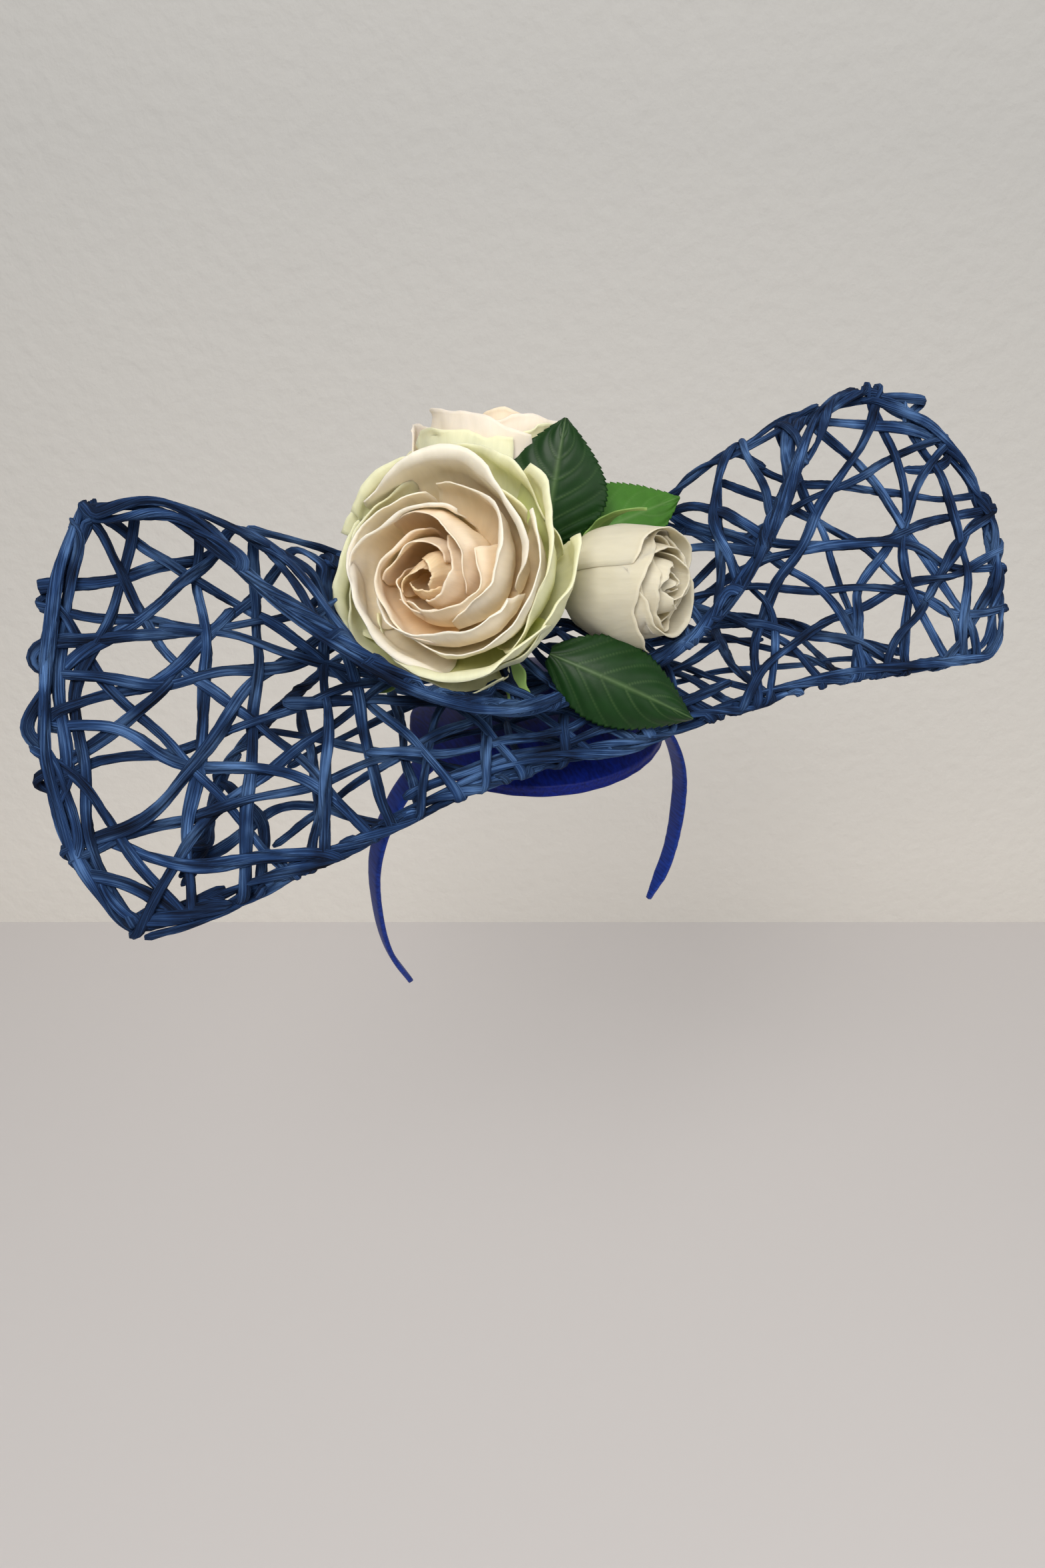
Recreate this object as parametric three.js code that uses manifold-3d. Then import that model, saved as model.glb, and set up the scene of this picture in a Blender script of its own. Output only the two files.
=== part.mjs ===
// Lattice fascinator hat: a roll of open paper cord lattice on a satin cap and a head band,
// with two roses, a rosebud and leaves. Millimetres, +Z up, the wearer faces -Y.
// The origin is the crown of the head, on the inner face of the band.

import * as THREE from 'three';
import { mergeVertices } from 'three/addons/utils/BufferGeometryUtils.js';
import Module from 'manifold-3d';

const wasm = await Module();
wasm.setup();

// Driving sizes of the head band
const band_half_width = 81;
const band_drop = 138;
const band_thickness = 2.6;
const band_crown_width = 14;
const band_tip_width = 7;

// Driving sizes of the cap
const cap_radius = 56;
const cap_sag = 13;
const cap_side = 5;
const cap_wall = 3;

// Driving sizes of the lattice roll
const half_span = 190;
const rim_reach = 76;
const back_reach = 82;
const wing_height = 107;
const rim_fold_radius = 6;
const top_fold_radius = 10;
const cord_width = 4.6;
const cord_thickness = 3.2;
const edge_cord_width = 6.4;
const edge_cord_thickness = 4.2;

// Driving sizes of the flowers
const petal_thickness = 1.2;
const leaf_thickness = 1.2;
const rose_radius = 44;
const back_rose_radius = 34;
const bud_radius = 23;
const stem_radius = 8;

// Small gap kept between pieces that touch
const seat_gap = 0.3;
// Gap left where the lattice is cut clear of a thin piece
const cut_gap = 0.5;
// Slivers narrower than this are merged where cords cross
const crumb_size = 0.3;

// Facets: steps along and round each kind of piece
const band_steps = 30;
const cap_rings = 4;
const cap_facets = 26;
const cord_pitch = 20;
const edge_steps = 28;
const end_steps = 10;
const bend_steps = 6;
const stem_facets = 10;
const heart_facets = 12;
const space_facets = 24;

// Shapes, as shares: the band's narrow tips, petals, sepals, leaves and the folds of the roll
const band_tip_share = 0.35;
const band_tip_taper = 9;
const stem_taper = 0.6;
const petal_spread = 0.95;
const petal_rounding = 0.1;
const petal_narrowing = 0.12;
const sepal_root = 0.45;
const sepal_swell = 1.8;
const sepal_taper = 2.1;
const leaf_least = 0.1;
const leaf_start = 0.06;
const leaf_run = 0.88;
const leaf_swell = 0.85;
const fold_share = 0.3;
const belly_spread = 0.7;
const fold_back = 0.8;
const fold_front = 0.6;
const fold_rise = 0.4;

const cap_top = band_thickness + seat_gap + cap_wall + seat_gap;
const deck = cap_top + seat_gap + cord_thickness / 2;

// Colour, roughness and metalness of each material
const paint = (color, roughness) => new THREE.MeshStandardMaterial({ color, roughness, metalness: 0 });
const navy_cord = paint(0x2f4f86, 0.8);
const royal_satin = paint(0x141e78, 0.4);
const peach_petal = paint(0xf3dfc2, 0.7);
const cream_petal = paint(0xece8cb, 0.7);
const ivory_petal = paint(0xf3f0df, 0.7);
const dark_leaf = paint(0x1d4424, 0.55);
const mid_leaf = paint(0x4d8a3a, 0.6);

const hat = new THREE.Group();

function addMesh(name, geometry, material, parent = hat) {
  const mesh = new THREE.Mesh(geometry, material);
  mesh.name = name;
  parent.add(mesh);
  return mesh;
}

const mix = (from, to, share) => from + (to - from) * share;

// A closed body from vertices and triangles
function bodyFrom(vertices, triangles) {
  const geometry = new THREE.BufferGeometry();
  geometry.setAttribute('position', new THREE.Float32BufferAttribute(vertices, 3));
  geometry.setIndex(triangles);
  geometry.computeVertexNormals();
  return geometry;
}

// A thin closed sheet: surface(u, v) is its middle, with u and v from 0 to 1
function sheetBody(surface, columns, rows, thickness) {
  const step = 1e-3;
  const sides = [[], []];
  for (let row = 0; row <= rows; row += 1) {
    for (let column = 0; column <= columns; column += 1) {
      const u = column / columns;
      const v = row / rows;
      const point = surface(u, v);
      const along = surface(Math.min(u + step, 1), v).sub(surface(Math.max(u - step, 0), v));
      const up = surface(u, Math.min(v + step, 1)).sub(surface(u, Math.max(v - step, 0)));
      const normal = along.cross(up).normalize().multiplyScalar(thickness / 2);
      sides[0].push(point.clone().add(normal));
      sides[1].push(point.clone().sub(normal));
    }
  }
  const count = sides[0].length;
  const vertices = sides.flat().flatMap((point) => point.toArray());
  const triangles = [];
  const quad = (a, b, c, d) => triangles.push(a, b, c, a, c, d);
  const at = (column, row) => row * (columns + 1) + column;
  for (let row = 0; row < rows; row += 1) {
    for (let column = 0; column < columns; column += 1) {
      const corners = [at(column, row), at(column + 1, row), at(column + 1, row + 1), at(column, row + 1)];
      quad(...corners);
      quad(...corners.reverse().map((corner) => corner + count));
    }
  }
  const border = [];
  for (let column = 0; column < columns; column += 1) border.push(at(column, 0));
  for (let row = 0; row < rows; row += 1) border.push(at(columns, row));
  for (let column = columns; column > 0; column -= 1) border.push(at(column, rows));
  for (let row = rows; row > 0; row -= 1) border.push(at(0, row));
  border.forEach((start, index) => {
    const end = border[(index + 1) % border.length];
    quad(start, start + count, end + count, end);
  });
  return bodyFrom(vertices, triangles);
}

// A bar of rectangular section through points, each with its own normal, closed at both ends
function barBody(points, normals, width, thickness) {
  const vertices = [];
  points.forEach((point, index) => {
    const before = points[Math.max(index - 1, 0)];
    const after = points[Math.min(index + 1, points.length - 1)];
    const tangent = after.clone().sub(before).normalize();
    const side = tangent.clone().cross(normals[index]).normalize();
    const normal = side.clone().cross(tangent).normalize();
    const half_width = side.multiplyScalar(width / 2);
    const half_thickness = normal.multiplyScalar(thickness / 2);
    for (const [across, out] of [[-1, -1], [1, -1], [1, 1], [-1, 1]]) {
      const corner = point.clone().addScaledVector(half_width, across);
      corner.addScaledVector(half_thickness, out);
      vertices.push(...corner.toArray());
    }
  });
  const triangles = [];
  const corners = 4;
  for (let ring = 0; ring < points.length - 1; ring += 1) {
    for (let corner = 0; corner < corners; corner += 1) {
      const a = ring * corners + corner;
      const b = ring * corners + (corner + 1) % corners;
      triangles.push(a, b + corners, b, a, a + corners, b + corners);
    }
  }
  const last = (points.length - 1) * corners;
  triangles.push(0, 1, 2, 0, 2, 3);
  triangles.push(last, last + 2, last + 1, last, last + 3, last + 2);
  return bodyFrom(vertices, triangles);
}

function toSolid(geometry) {
  const bare = geometry.clone();
  bare.deleteAttribute('normal');
  bare.deleteAttribute('uv');
  const merged = mergeVertices(bare);
  const vertProperties = new Float32Array(merged.attributes.position.array);
  const triVerts = new Uint32Array(merged.index.array);
  return new wasm.Manifold(new wasm.Mesh({ numProp: 3, vertProperties, triVerts }));
}

function toGeometry(solid) {
  const mesh = solid.getMesh();
  return bodyFrom(Array.from(mesh.vertProperties), Array.from(mesh.triVerts));
}

// The largest piece of a solid, with the small voids shut inside crossings filled
function largestPiece(solid) {
  const pieces = solid.decompose();
  pieces.sort((first, second) => second.volume() - first.volume());
  return pieces[0];
}

// Head band: an arch through stations, as shares of its half width and its drop
const band_stations = [
  { out: 0, down: 0 },
  { out: 0.45, down: 0.05 },
  { out: 0.8, down: 0.2 },
  { out: 0.98, down: 0.42 },
  { out: 1, down: 0.64 },
  { out: 0.95, down: 0.84 },
  { out: 0.84, down: 1 },
];

function headband() {
  const place = (side) => (row) => new THREE.Vector3(
    side * row.out * band_half_width,
    0,
    band_thickness / 2 - row.down * band_drop,
  );
  const left = band_stations.slice(1).reverse().map(place(-1));
  const curve = new THREE.CatmullRomCurve3([...left, ...band_stations.map(place(1))], false, 'centripetal');
  const widthAt = (share) => {
    const from_crown = Math.abs(2 * share - 1);
    const taper = Math.min(1, band_tip_share + band_tip_taper * (1 - from_crown));
    return mix(band_crown_width, band_tip_width, from_crown ** 2) * taper;
  };
  const surface = (u, v) => {
    const point = curve.getPointAt(u);
    point.y += (0.5 - v) * widthAt(u);
    return point;
  };
  return sheetBody(surface, band_steps, 1, band_thickness);
}

addMesh('headband', headband(), royal_satin);

// Cap: a shallow dome with a short side, hollow below
function baseCap() {
  const dome = (radius, crown) => crown - cap_sag * (radius / cap_radius) ** 2;
  const profile = [];
  for (let step = 0; step <= cap_rings; step += 1) {
    const radius = (cap_radius - cap_wall) * (step / cap_rings);
    profile.push(new THREE.Vector2(radius, dome(radius, cap_top - cap_wall)));
  }
  const lower_edge = dome(cap_radius, cap_top) - cap_side;
  profile.push(new THREE.Vector2(cap_radius - cap_wall, lower_edge));
  profile.push(new THREE.Vector2(cap_radius, lower_edge));
  for (let step = cap_rings; step >= 0; step -= 1) {
    const radius = cap_radius * (step / cap_rings);
    profile.push(new THREE.Vector2(radius, dome(radius, cap_top)));
  }
  const lathe = new THREE.LatheGeometry(profile, cap_facets);
  return lathe.rotateX(Math.PI / 2);
}

addMesh('base_cap', baseCap(), royal_satin);

// Cross sections of the roll, from wing to wing. Each row gives a station as a share of half_span,
// forward places as shares of rim_reach, backward ones as shares of back_reach,
// and heights above the cap as shares of wing_height:
// station, rim forward, rim height, top fold backward, top fold height, lip forward, lip height,
// under flap backward
const section_rows = [
  [-1.05, 1.01, -0.03, 0.04, 0.99, -0.04, 0.99, -0.9],
  [-0.86, 1.0, -0.04, 0.05, 0.98, 0.02, 0.98, -0.74],
  [-0.74, 0.98, -0.03, 0.04, 0.96, 0.2, 0.97, -0.12],
  [-0.6, 0.95, 0.0, 0.1, 0.83, 0.6, 0.76, 0.28],
  [-0.45, 0.91, 0.04, 0.18, 0.69, 0.79, 0.51, 0.6],
  [-0.28, 0.87, 0.06, 0.24, 0.55, 0.79, 0.32, 0.87],
  [-0.08, 0.84, 0.05, 0.28, 0.42, 0.74, 0.25, 1.0],
  [0.08, 0.84, 0.06, 0.28, 0.42, 0.74, 0.28, 1.0],
  [0.24, 0.87, 0.08, 0.24, 0.54, 0.7, 0.39, 0.92],
  [0.4, 0.89, 0.1, 0.18, 0.7, 0.59, 0.61, 0.7],
  [0.55, 0.93, 0.12, 0.11, 0.84, 0.38, 0.85, 0.36],
  [0.7, 0.96, 0.1, 0.06, 0.94, 0.13, 0.97, 0.02],
  [0.82, 0.99, 0.09, 0.02, 1.0, 0.01, 1.0, -0.46],
  [1.0, 1.01, 0.09, 0.0, 1.01, 0.0, 1.01, -0.86],
  [1.16, 1.02, 0.09, 0.0, 1.01, 0.0, 1.01, -0.9],
];
const section_columns = [
  'station', 'rim_forward', 'rim_height', 'top_back', 'top_height', 'lip_forward', 'lip_height', 'under_back',
];
const sections = section_rows.map((row) => Object.fromEntries(section_columns.map((name, i) => [name, row[i]])));
const belly = 0.1;

// A smooth value of one column at a station
function columnAt(name, station) {
  const last = sections.length - 1;
  let index = sections.findIndex((row) => row.station > station) - 1;
  if (index < 0) index = station < 0 ? 0 : last - 1;
  const [before, from, to, after] = [-1, 0, 1, 2].map((offset) => {
    return sections[Math.min(Math.max(index + offset, 0), last)];
  });
  const width = to.station - from.station;
  const share = Math.min(Math.max((station - from.station) / width, 0), 1);
  const slopeAt = (low, high) => (high[name] - low[name]) / (high.station - low.station || 1) * width;
  const start_slope = slopeAt(before, to);
  const end_slope = slopeAt(from, after);
  const square = share * share;
  const cube = square * share;
  return (2 * cube - 3 * square + 1) * from[name] + (cube - 2 * square + share) * start_slope
    + (3 * square - 2 * cube) * to[name] + (cube - square) * end_slope;
}

// One cross section as a smooth line in Y and Z: it starts at the edge of the under flap,
// turns at the rim, rises behind, turns at the top fold and ends at the lip
function sectionLine(station) {
  const at = (name) => columnAt(name, station);
  const rim = new THREE.Vector2(-at('rim_forward') * rim_reach, deck + at('rim_height') * wing_height);
  const top = new THREE.Vector2(at('top_back') * back_reach, deck + at('top_height') * wing_height);
  const lip = new THREE.Vector2(-at('lip_forward') * rim_reach, deck + at('lip_height') * wing_height);
  const under = new THREE.Vector2(at('under_back') * back_reach, deck);
  const rim_bend = Math.min(rim_fold_radius, fold_share * under.distanceTo(rim));
  const top_bend = Math.min(top_fold_radius, fold_share * lip.distanceTo(top));
  const middle = rim.clone().lerp(top, 0.5);
  middle.x += belly_spread * belly * wing_height;
  middle.y -= belly_spread * belly * wing_height;
  const controls = [
    under,
    new THREE.Vector2(rim.x, rim.y - rim_bend),
    new THREE.Vector2(rim.x, rim.y + rim_bend),
    middle,
    new THREE.Vector2(top.x + fold_back * top_bend, top.y - fold_back * top_bend),
    new THREE.Vector2(top.x - fold_front * top_bend, top.y + fold_rise * top_bend),
    lip,
  ];
  const rim_turn = 1;
  const top_turn = 4;
  const points = [controls[0]];
  const marks = {};
  for (let turn = 1; turn < controls.length - 1; turn += 1) {
    const start = turn === 1 ? controls[0] : controls[turn - 1].clone().lerp(controls[turn], 0.5);
    const is_last = turn === controls.length - 2;
    const end = is_last ? controls[turn + 1] : controls[turn].clone().lerp(controls[turn + 1], 0.5);
    const bend = new THREE.QuadraticBezierCurve(start, controls[turn], end);
    points.push(...bend.getPoints(bend_steps).slice(1));
    if (turn === rim_turn) marks.rim = points.length - 1;
    if (turn === top_turn) marks.top = points.length - 1;
  }
  const lengths = [0];
  for (let index = 1; index < points.length; index += 1) {
    lengths.push(lengths[index - 1] + points[index].distanceTo(points[index - 1]));
  }
  const zero = lengths[marks.rim];
  return {
    points,
    lengths: lengths.map((length) => length - zero),
    under: zero,
    wall: lengths[marks.top] - zero,
    flap: lengths[lengths.length - 1] - lengths[marks.top],
  };
}

const station_count = 84;
const first_station = -1.2;
const last_station = 1.2;
const lines = [];
for (let index = 0; index <= station_count; index += 1) {
  lines.push(sectionLine(mix(first_station, last_station, index / station_count)));
}

function nearLines(station) {
  const place = (station - first_station) / (last_station - first_station) * station_count;
  const index = Math.min(Math.max(Math.floor(place), 0), station_count - 1);
  return { from: lines[index], to: lines[index + 1], share: place - index };
}

// Length round the section, from the rim, of a row:
// -1 is the edge of the under flap, 0 the rim, 1 the top fold and 2 the lip
function girthAt(station, row) {
  const { from, to, share } = nearLines(station);
  const size = (name) => mix(from[name], to[name], share);
  if (row < 0) return row * size('under');
  if (row < 1) return row * size('wall');
  return size('wall') + (row - 1) * size('flap');
}

function alongLine(line, girth) {
  const { points, lengths } = line;
  let index = lengths.findIndex((length) => length > girth);
  if (index < 0) index = lengths.length - 1;
  index = Math.max(index, 1);
  const share = (girth - lengths[index - 1]) / (lengths[index] - lengths[index - 1] || 1);
  return points[index - 1].clone().lerp(points[index], Math.min(Math.max(share, 0), 1));
}

// A point of the bent lattice sheet from its flat place
function onSheet(station, girth) {
  const { from, to, share } = nearLines(station);
  const place = alongLine(from, girth).lerp(alongLine(to, girth), share);
  return new THREE.Vector3(station * half_span, place.x, place.y);
}

function sheetNormal(station, girth) {
  const reach = 2;
  const along = onSheet(station + reach / half_span, girth).sub(onSheet(station - reach / half_span, girth));
  const round = onSheet(station, girth + reach).sub(onSheet(station, girth - reach));
  return along.cross(round).normalize();
}

// Outline of the wing ends: row, left station, right station
const end_rows = [
  [0, -0.98, 0.97],
  [0.22, -1.04, 1.07],
  [0.45, -1.04, 1.13],
  [0.65, -1.0, 1.1],
  [0.85, -0.94, 0.99],
  [1, -0.86, 0.83],
];

function endStation(side, row) {
  const column = side < 0 ? 1 : 2;
  const index = Math.max(end_rows.findIndex((entry) => entry[0] >= row), 1);
  const [low, high] = [end_rows[index - 1], end_rows[index]];
  return mix(low[column], high[column], (row - low[0]) / (high[0] - low[0]));
}

// A cord straight on the flat sheet, from one station and row to another
function cordSolid(from, to, width, thickness) {
  const start = { station: from[0], girth: girthAt(from[0], from[1]) };
  const end = { station: to[0], girth: girthAt(to[0], to[1]) };
  const length = Math.hypot((end.station - start.station) * half_span, end.girth - start.girth);
  const count = Math.max(Math.round(length / cord_pitch), 2);
  const points = [];
  const normals = [];
  for (let index = 0; index <= count; index += 1) {
    const station = mix(start.station, end.station, index / count);
    const girth = mix(start.girth, end.girth, index / count);
    points.push(onSheet(station, girth));
    normals.push(sheetNormal(station, girth));
  }
  return toSolid(barBody(points, normals, width, thickness));
}

// A cord along an edge of the sheet
function edgeSolid(stationAt, rowAt, count) {
  const points = [];
  const normals = [];
  for (let index = 0; index <= count; index += 1) {
    const share = index / count;
    const station = stationAt(share);
    const girth = girthAt(station, rowAt(share));
    points.push(onSheet(station, girth));
    normals.push(sheetNormal(station, girth));
  }
  return toSolid(barBody(points, normals, edge_cord_width, edge_cord_thickness));
}

// Cords of the lattice, each from a station and row to a station and row
const wing_cords = {
  left: [
    [-0.9, 0.92, -0.56, 0],
    [-1.0, 0.66, -0.74, 0],
    [-0.72, 1.3, -0.9, 0],
    [-0.6, 1.8, -0.7, 0],
    [-0.96, 0.8, -0.46, 1.6],
    [-1.03, 0.5, -0.26, 1.0],
    [-1.04, 0.28, -0.34, 2],
    [-1.04, 0.46, -0.72, 1.5],
    [-1.01, 0.1, -0.2, 0.5],
  ],
  right: [
    [0.88, 0.95, 0.5, 0],
    [1.1, 0.62, 0.74, 0],
    [0.74, 1.2, 0.88, 0],
    [0.56, 2, 0.64, 0],
    [1.04, 0.8, 0.42, 1.6],
    [1.12, 0.46, 0.28, 1.0],
    [1.08, 0.24, 0.34, 2],
    [1.12, 0.5, 0.68, 1.6],
    [1.03, 0.1, 0.18, 0.5],
  ],
  middle: [
    [-0.4, 2, -0.3, 0],
    [-0.24, 0, -0.1, 2],
    [0.02, 0, 0.16, 2],
    [0.4, 2, 0.32, 0],
    [-0.4, 0.5, 0.36, 0.55],
    [-0.46, 1.4, 0.42, 1.4],
    [-0.3, 0.97, 0.3, 0.97],
  ],
  under: [
    [-0.8, -1, -0.5, 0],
    [-0.6, -1, -0.74, 0],
    [-0.46, -1, -0.1, 0],
    [0.0, -1, 0.3, 0],
    [0.26, -1, 0.0, 0],
    [0.42, -1, 0.7, 0],
    [0.7, -1, 0.44, 0],
    [-0.6, -0.67, 0.6, -0.68],
  ],
};

function latticeSolids() {
  const straight = (share) => share;
  const solids = [
    edgeSolid((share) => mix(-0.98, 0.97, share), () => 0, edge_steps),
    edgeSolid((share) => mix(-0.86, 0.83, share), () => 2, edge_steps),
    edgeSolid((share) => mix(-0.88, 0.86, share), () => -1, edge_steps),
    edgeSolid((share) => endStation(-1, share), straight, end_steps),
    edgeSolid((share) => endStation(1, share), straight, end_steps),
  ];
  for (const rows of Object.values(wing_cords)) {
    for (const row of rows) {
      solids.push(cordSolid(row.slice(0, 2), row.slice(2), cord_width, cord_thickness));
    }
  }
  return solids;
}

// A flower's own frame: the group's +Z is the way that the flower faces
function flowerFrame(place, azimuth, elevation) {
  const group = new THREE.Group();
  const turn = THREE.MathUtils.degToRad(azimuth);
  const rise = THREE.MathUtils.degToRad(elevation);
  const facing = new THREE.Vector3(
    Math.sin(turn) * Math.cos(rise),
    -Math.cos(turn) * Math.cos(rise),
    Math.sin(rise),
  );
  group.position.set(...place);
  group.quaternion.setFromUnitVectors(new THREE.Vector3(0, 0, 1), facing);
  hat.add(group);
  group.updateMatrixWorld(true);
  return group;
}

// Rings of petals. Each ring has its count, and its profile as shares of the flower's radius:
// base height, bulge radius, bulge height, tip radius, tip height
const rose_rings = [
  { count: 5, base: 0.02, bulge: [0.96, 0.04], tip: [1.0, 0.74], turn: 0.2 },
  { count: 4, base: 0.1, bulge: [0.84, 0.12], tip: [0.82, 0.88], turn: 0.75 },
  { count: 3, base: 0.18, bulge: [0.68, 0.2], tip: [0.62, 0.98], turn: 0.1 },
];
const back_rose_rings = [
  { count: 5, base: 0.02, bulge: [1.0, 0.04], tip: [0.96, 1.0], turn: 0.2 },
  { count: 4, base: 0.1, bulge: [0.84, 0.14], tip: [0.76, 1.22], turn: 0.7 },
];
const bud_rings = [
  { count: 4, base: 0.04, bulge: [1.15, 0.3], tip: [0.92, 2.0], turn: 0.3 },
];

function ringSurface(radius, ring, position) {
  const spread = Math.PI / ring.count * petal_spread;
  const middle = (position + ring.turn) * 2 * Math.PI / ring.count;
  const bend = new THREE.QuadraticBezierCurve(
    new THREE.Vector2(stem_radius + seat_gap + petal_thickness / 2, ring.base * radius + petal_thickness),
    new THREE.Vector2(ring.bulge[0] * radius, ring.bulge[1] * radius),
    new THREE.Vector2(ring.tip[0] * radius, ring.tip[1] * radius),
  );
  return (u, v) => {
    const across = 2 * u - 1;
    const rounded = 1 - petal_rounding * across ** 2 * v;
    const place = bend.getPoint(v * rounded);
    const angle = middle + across * spread * (1 - petal_narrowing * v * v);
    return new THREE.Vector3(place.x * Math.cos(angle), place.x * Math.sin(angle), place.y);
  };
}

function addRings(flower, group) {
  let number = 0;
  for (const ring of flower.rings) {
    for (let position = 0; position < ring.count; position += 1) {
      number += 1;
      const body = sheetBody(ringSurface(flower.radius, ring, position), 3, 3, petal_thickness);
      addMesh(`${flower.name}_petal_${number}`, body, flower.material, group);
    }
  }
}

// The closed heart of a flower on its short stem: its outline as shares of its width and height
const heart_foot = 0.8;
const heart_stations = [
  { out: 0.9, up: 0.3 },
  { out: 1, up: 0.62 },
  { out: 0.82, up: 1 },
  { out: 0.4, up: 0.86 },
  { out: 0, up: 0.94 },
];

function addHeart(flower, group) {
  const { name, radius, stem_depth } = flower;
  const { seat, top, width } = flower.core;
  const stem_top = seat * radius;
  const stem = new THREE.LatheGeometry([
    new THREE.Vector2(0, -stem_depth),
    new THREE.Vector2(stem_radius * stem_taper, -stem_depth),
    new THREE.Vector2(stem_radius, 0),
    new THREE.Vector2(stem_radius, stem_top),
    new THREE.Vector2(0, stem_top),
  ], stem_facets).rotateX(Math.PI / 2);
  addMesh(`${name}_stem`, stem, mid_leaf, group);
  const foot = stem_top + seat_gap;
  const height = top * radius - foot;
  const heart = new THREE.LatheGeometry([
    new THREE.Vector2(0, foot),
    new THREE.Vector2(stem_radius * heart_foot, foot),
    ...heart_stations.map((row) => new THREE.Vector2(width * radius * row.out, foot + height * row.up)),
  ], heart_facets).rotateX(Math.PI / 2);
  addMesh(`${name}_core`, heart, flower.material, group);
}

// Space that a flower takes, grown by the gap, for cutting the lattice clear of it
function flowerSpace(group, radius, ring) {
  const grow = petal_thickness / 2 + 2 * seat_gap;
  const bend = new THREE.QuadraticBezierCurve(
    new THREE.Vector2(stem_radius, ring.base * radius),
    new THREE.Vector2(ring.bulge[0] * radius + grow, ring.bulge[1] * radius - grow),
    new THREE.Vector2(ring.tip[0] * radius + grow, ring.tip[1] * radius),
  );
  const profile = [
    new THREE.Vector2(0, ring.base * radius),
    ...bend.getPoints(bend_steps),
    new THREE.Vector2(0, ring.tip[1] * radius + grow),
  ];
  const space = new THREE.LatheGeometry(profile, space_facets).rotateX(Math.PI / 2);
  return space.applyMatrix4(group.matrixWorld);
}

function stemSpace(group, stem_depth) {
  const wide = stem_radius + seat_gap;
  const space = new THREE.LatheGeometry([
    new THREE.Vector2(0, -stem_depth - seat_gap),
    new THREE.Vector2(stem_radius * stem_taper + seat_gap, -stem_depth - seat_gap),
    new THREE.Vector2(wide, 0),
    new THREE.Vector2(wide, 1),
    new THREE.Vector2(0, 1),
  ], space_facets).rotateX(Math.PI / 2);
  return space.applyMatrix4(group.matrixWorld);
}

// Narrow green sepals below the outer ring of a flower, each at its own angle in degrees
function sepalSurface(radius, row) {
  const bend = new THREE.QuadraticBezierCurve(
    new THREE.Vector2(stem_radius + 1.5 * seat_gap, -0.02 * radius),
    new THREE.Vector2(row.bulge[0] * radius, row.bulge[1] * radius),
    new THREE.Vector2(row.tip[0] * radius, row.tip[1] * radius),
  );
  const middle = THREE.MathUtils.degToRad(row.angle);
  return (u, v) => {
    const place = bend.getPoint(v);
    const half_width = row.width / 2 * (sepal_root + sepal_swell * v - sepal_taper * v ** 2);
    const angle = middle + (2 * u - 1) * half_width / place.x;
    return new THREE.Vector3(place.x * Math.cos(angle), place.x * Math.sin(angle), place.y);
  };
}

// A leaf from its root to its tip, bowed towards its face, with its width across
function leafSurface(leaf) {
  const root = new THREE.Vector3(...leaf.root);
  const tip = new THREE.Vector3(...leaf.tip);
  const face = new THREE.Vector3(...leaf.face).normalize();
  const along = tip.clone().sub(root);
  const across = along.clone().cross(face).normalize();
  const out = across.clone().cross(along).normalize();
  return (u, v) => {
    const side = 2 * u - 1;
    const swell = Math.sin(Math.PI * (leaf_start + leaf_run * v) ** leaf_swell);
    const width = leaf.width * Math.max(leaf_least, swell);
    const point = root.clone().addScaledVector(along, v);
    point.addScaledVector(across, side * width / 2);
    point.addScaledVector(out, leaf.bow * Math.sin(Math.PI * v) + leaf.fold * side * side);
    return point;
  };
}

// Spaces that the lattice is cut clear of, a little wider and longer than their sheets
const spaces = [];
const space_grow = { across: 1.25, along: 1.05 };

function spaceRound(surface, columns, rows, thickness, group = hat) {
  const grown = (u, v) => surface(
    0.5 + (u - 0.5) * space_grow.across,
    0.5 + (v - 0.5) * space_grow.along,
  );
  const body = sheetBody(grown, columns, rows, thickness + 2 * cut_gap);
  spaces.push(body.applyMatrix4(group.matrixWorld));
}

function addFlower(flower) {
  const group = flowerFrame(flower.place, flower.azimuth, flower.elevation);
  addHeart(flower, group);
  addRings(flower, group);
  spaces.push(stemSpace(group, flower.stem_depth));
  for (const ring of flower.rings) spaces.push(flowerSpace(group, flower.radius, ring));
  flower.sepals.forEach((row, index) => {
    const surface = sepalSurface(flower.radius, row);
    addMesh(`${flower.name}_sepal_${index + 1}`, sheetBody(surface, 1, 3, petal_thickness), mid_leaf, group);
    spaceRound(surface, 1, 3, petal_thickness, group);
  });
}

const flowers = [
  {
    name: 'rose',
    place: [-34, -8, deck + 58],
    azimuth: -40,
    elevation: 34,
    radius: rose_radius,
    rings: rose_rings,
    core: { seat: 0.26, top: 1.0, width: 0.44 },
    stem_depth: 19,
    material: peach_petal,
    sepals: [
      { angle: 200, width: 9, bulge: [1.0, -0.08], tip: [1.12, 0.5] },
      { angle: 262, width: 11, bulge: [1.0, -0.08], tip: [1.12, 0.34] },
    ],
  },
  {
    name: 'back_rose',
    place: [-1, 37, deck + 63],
    azimuth: 150,
    elevation: 66,
    radius: back_rose_radius,
    rings: back_rose_rings,
    core: { seat: 0.26, top: 1.3, width: 0.5 },
    stem_depth: 26,
    material: cream_petal,
    sepals: [],
  },
  {
    name: 'bud',
    place: [8, -13, deck + 52],
    azimuth: 30,
    elevation: 12,
    radius: bud_radius,
    rings: bud_rings,
    core: { seat: 0.5, top: 2.1, width: 0.66 },
    stem_depth: 14,
    material: ivory_petal,
    sepals: [
      { angle: -8, width: 8, bulge: [1.2, 0.04], tip: [1.25, 1.5] },
      { angle: 72, width: 8, bulge: [1.2, 0.04], tip: [1.1, 1.6] },
      { angle: 190, width: 8, bulge: [1.2, 0.04], tip: [1.1, 0.9] },
    ],
  },
];
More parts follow.
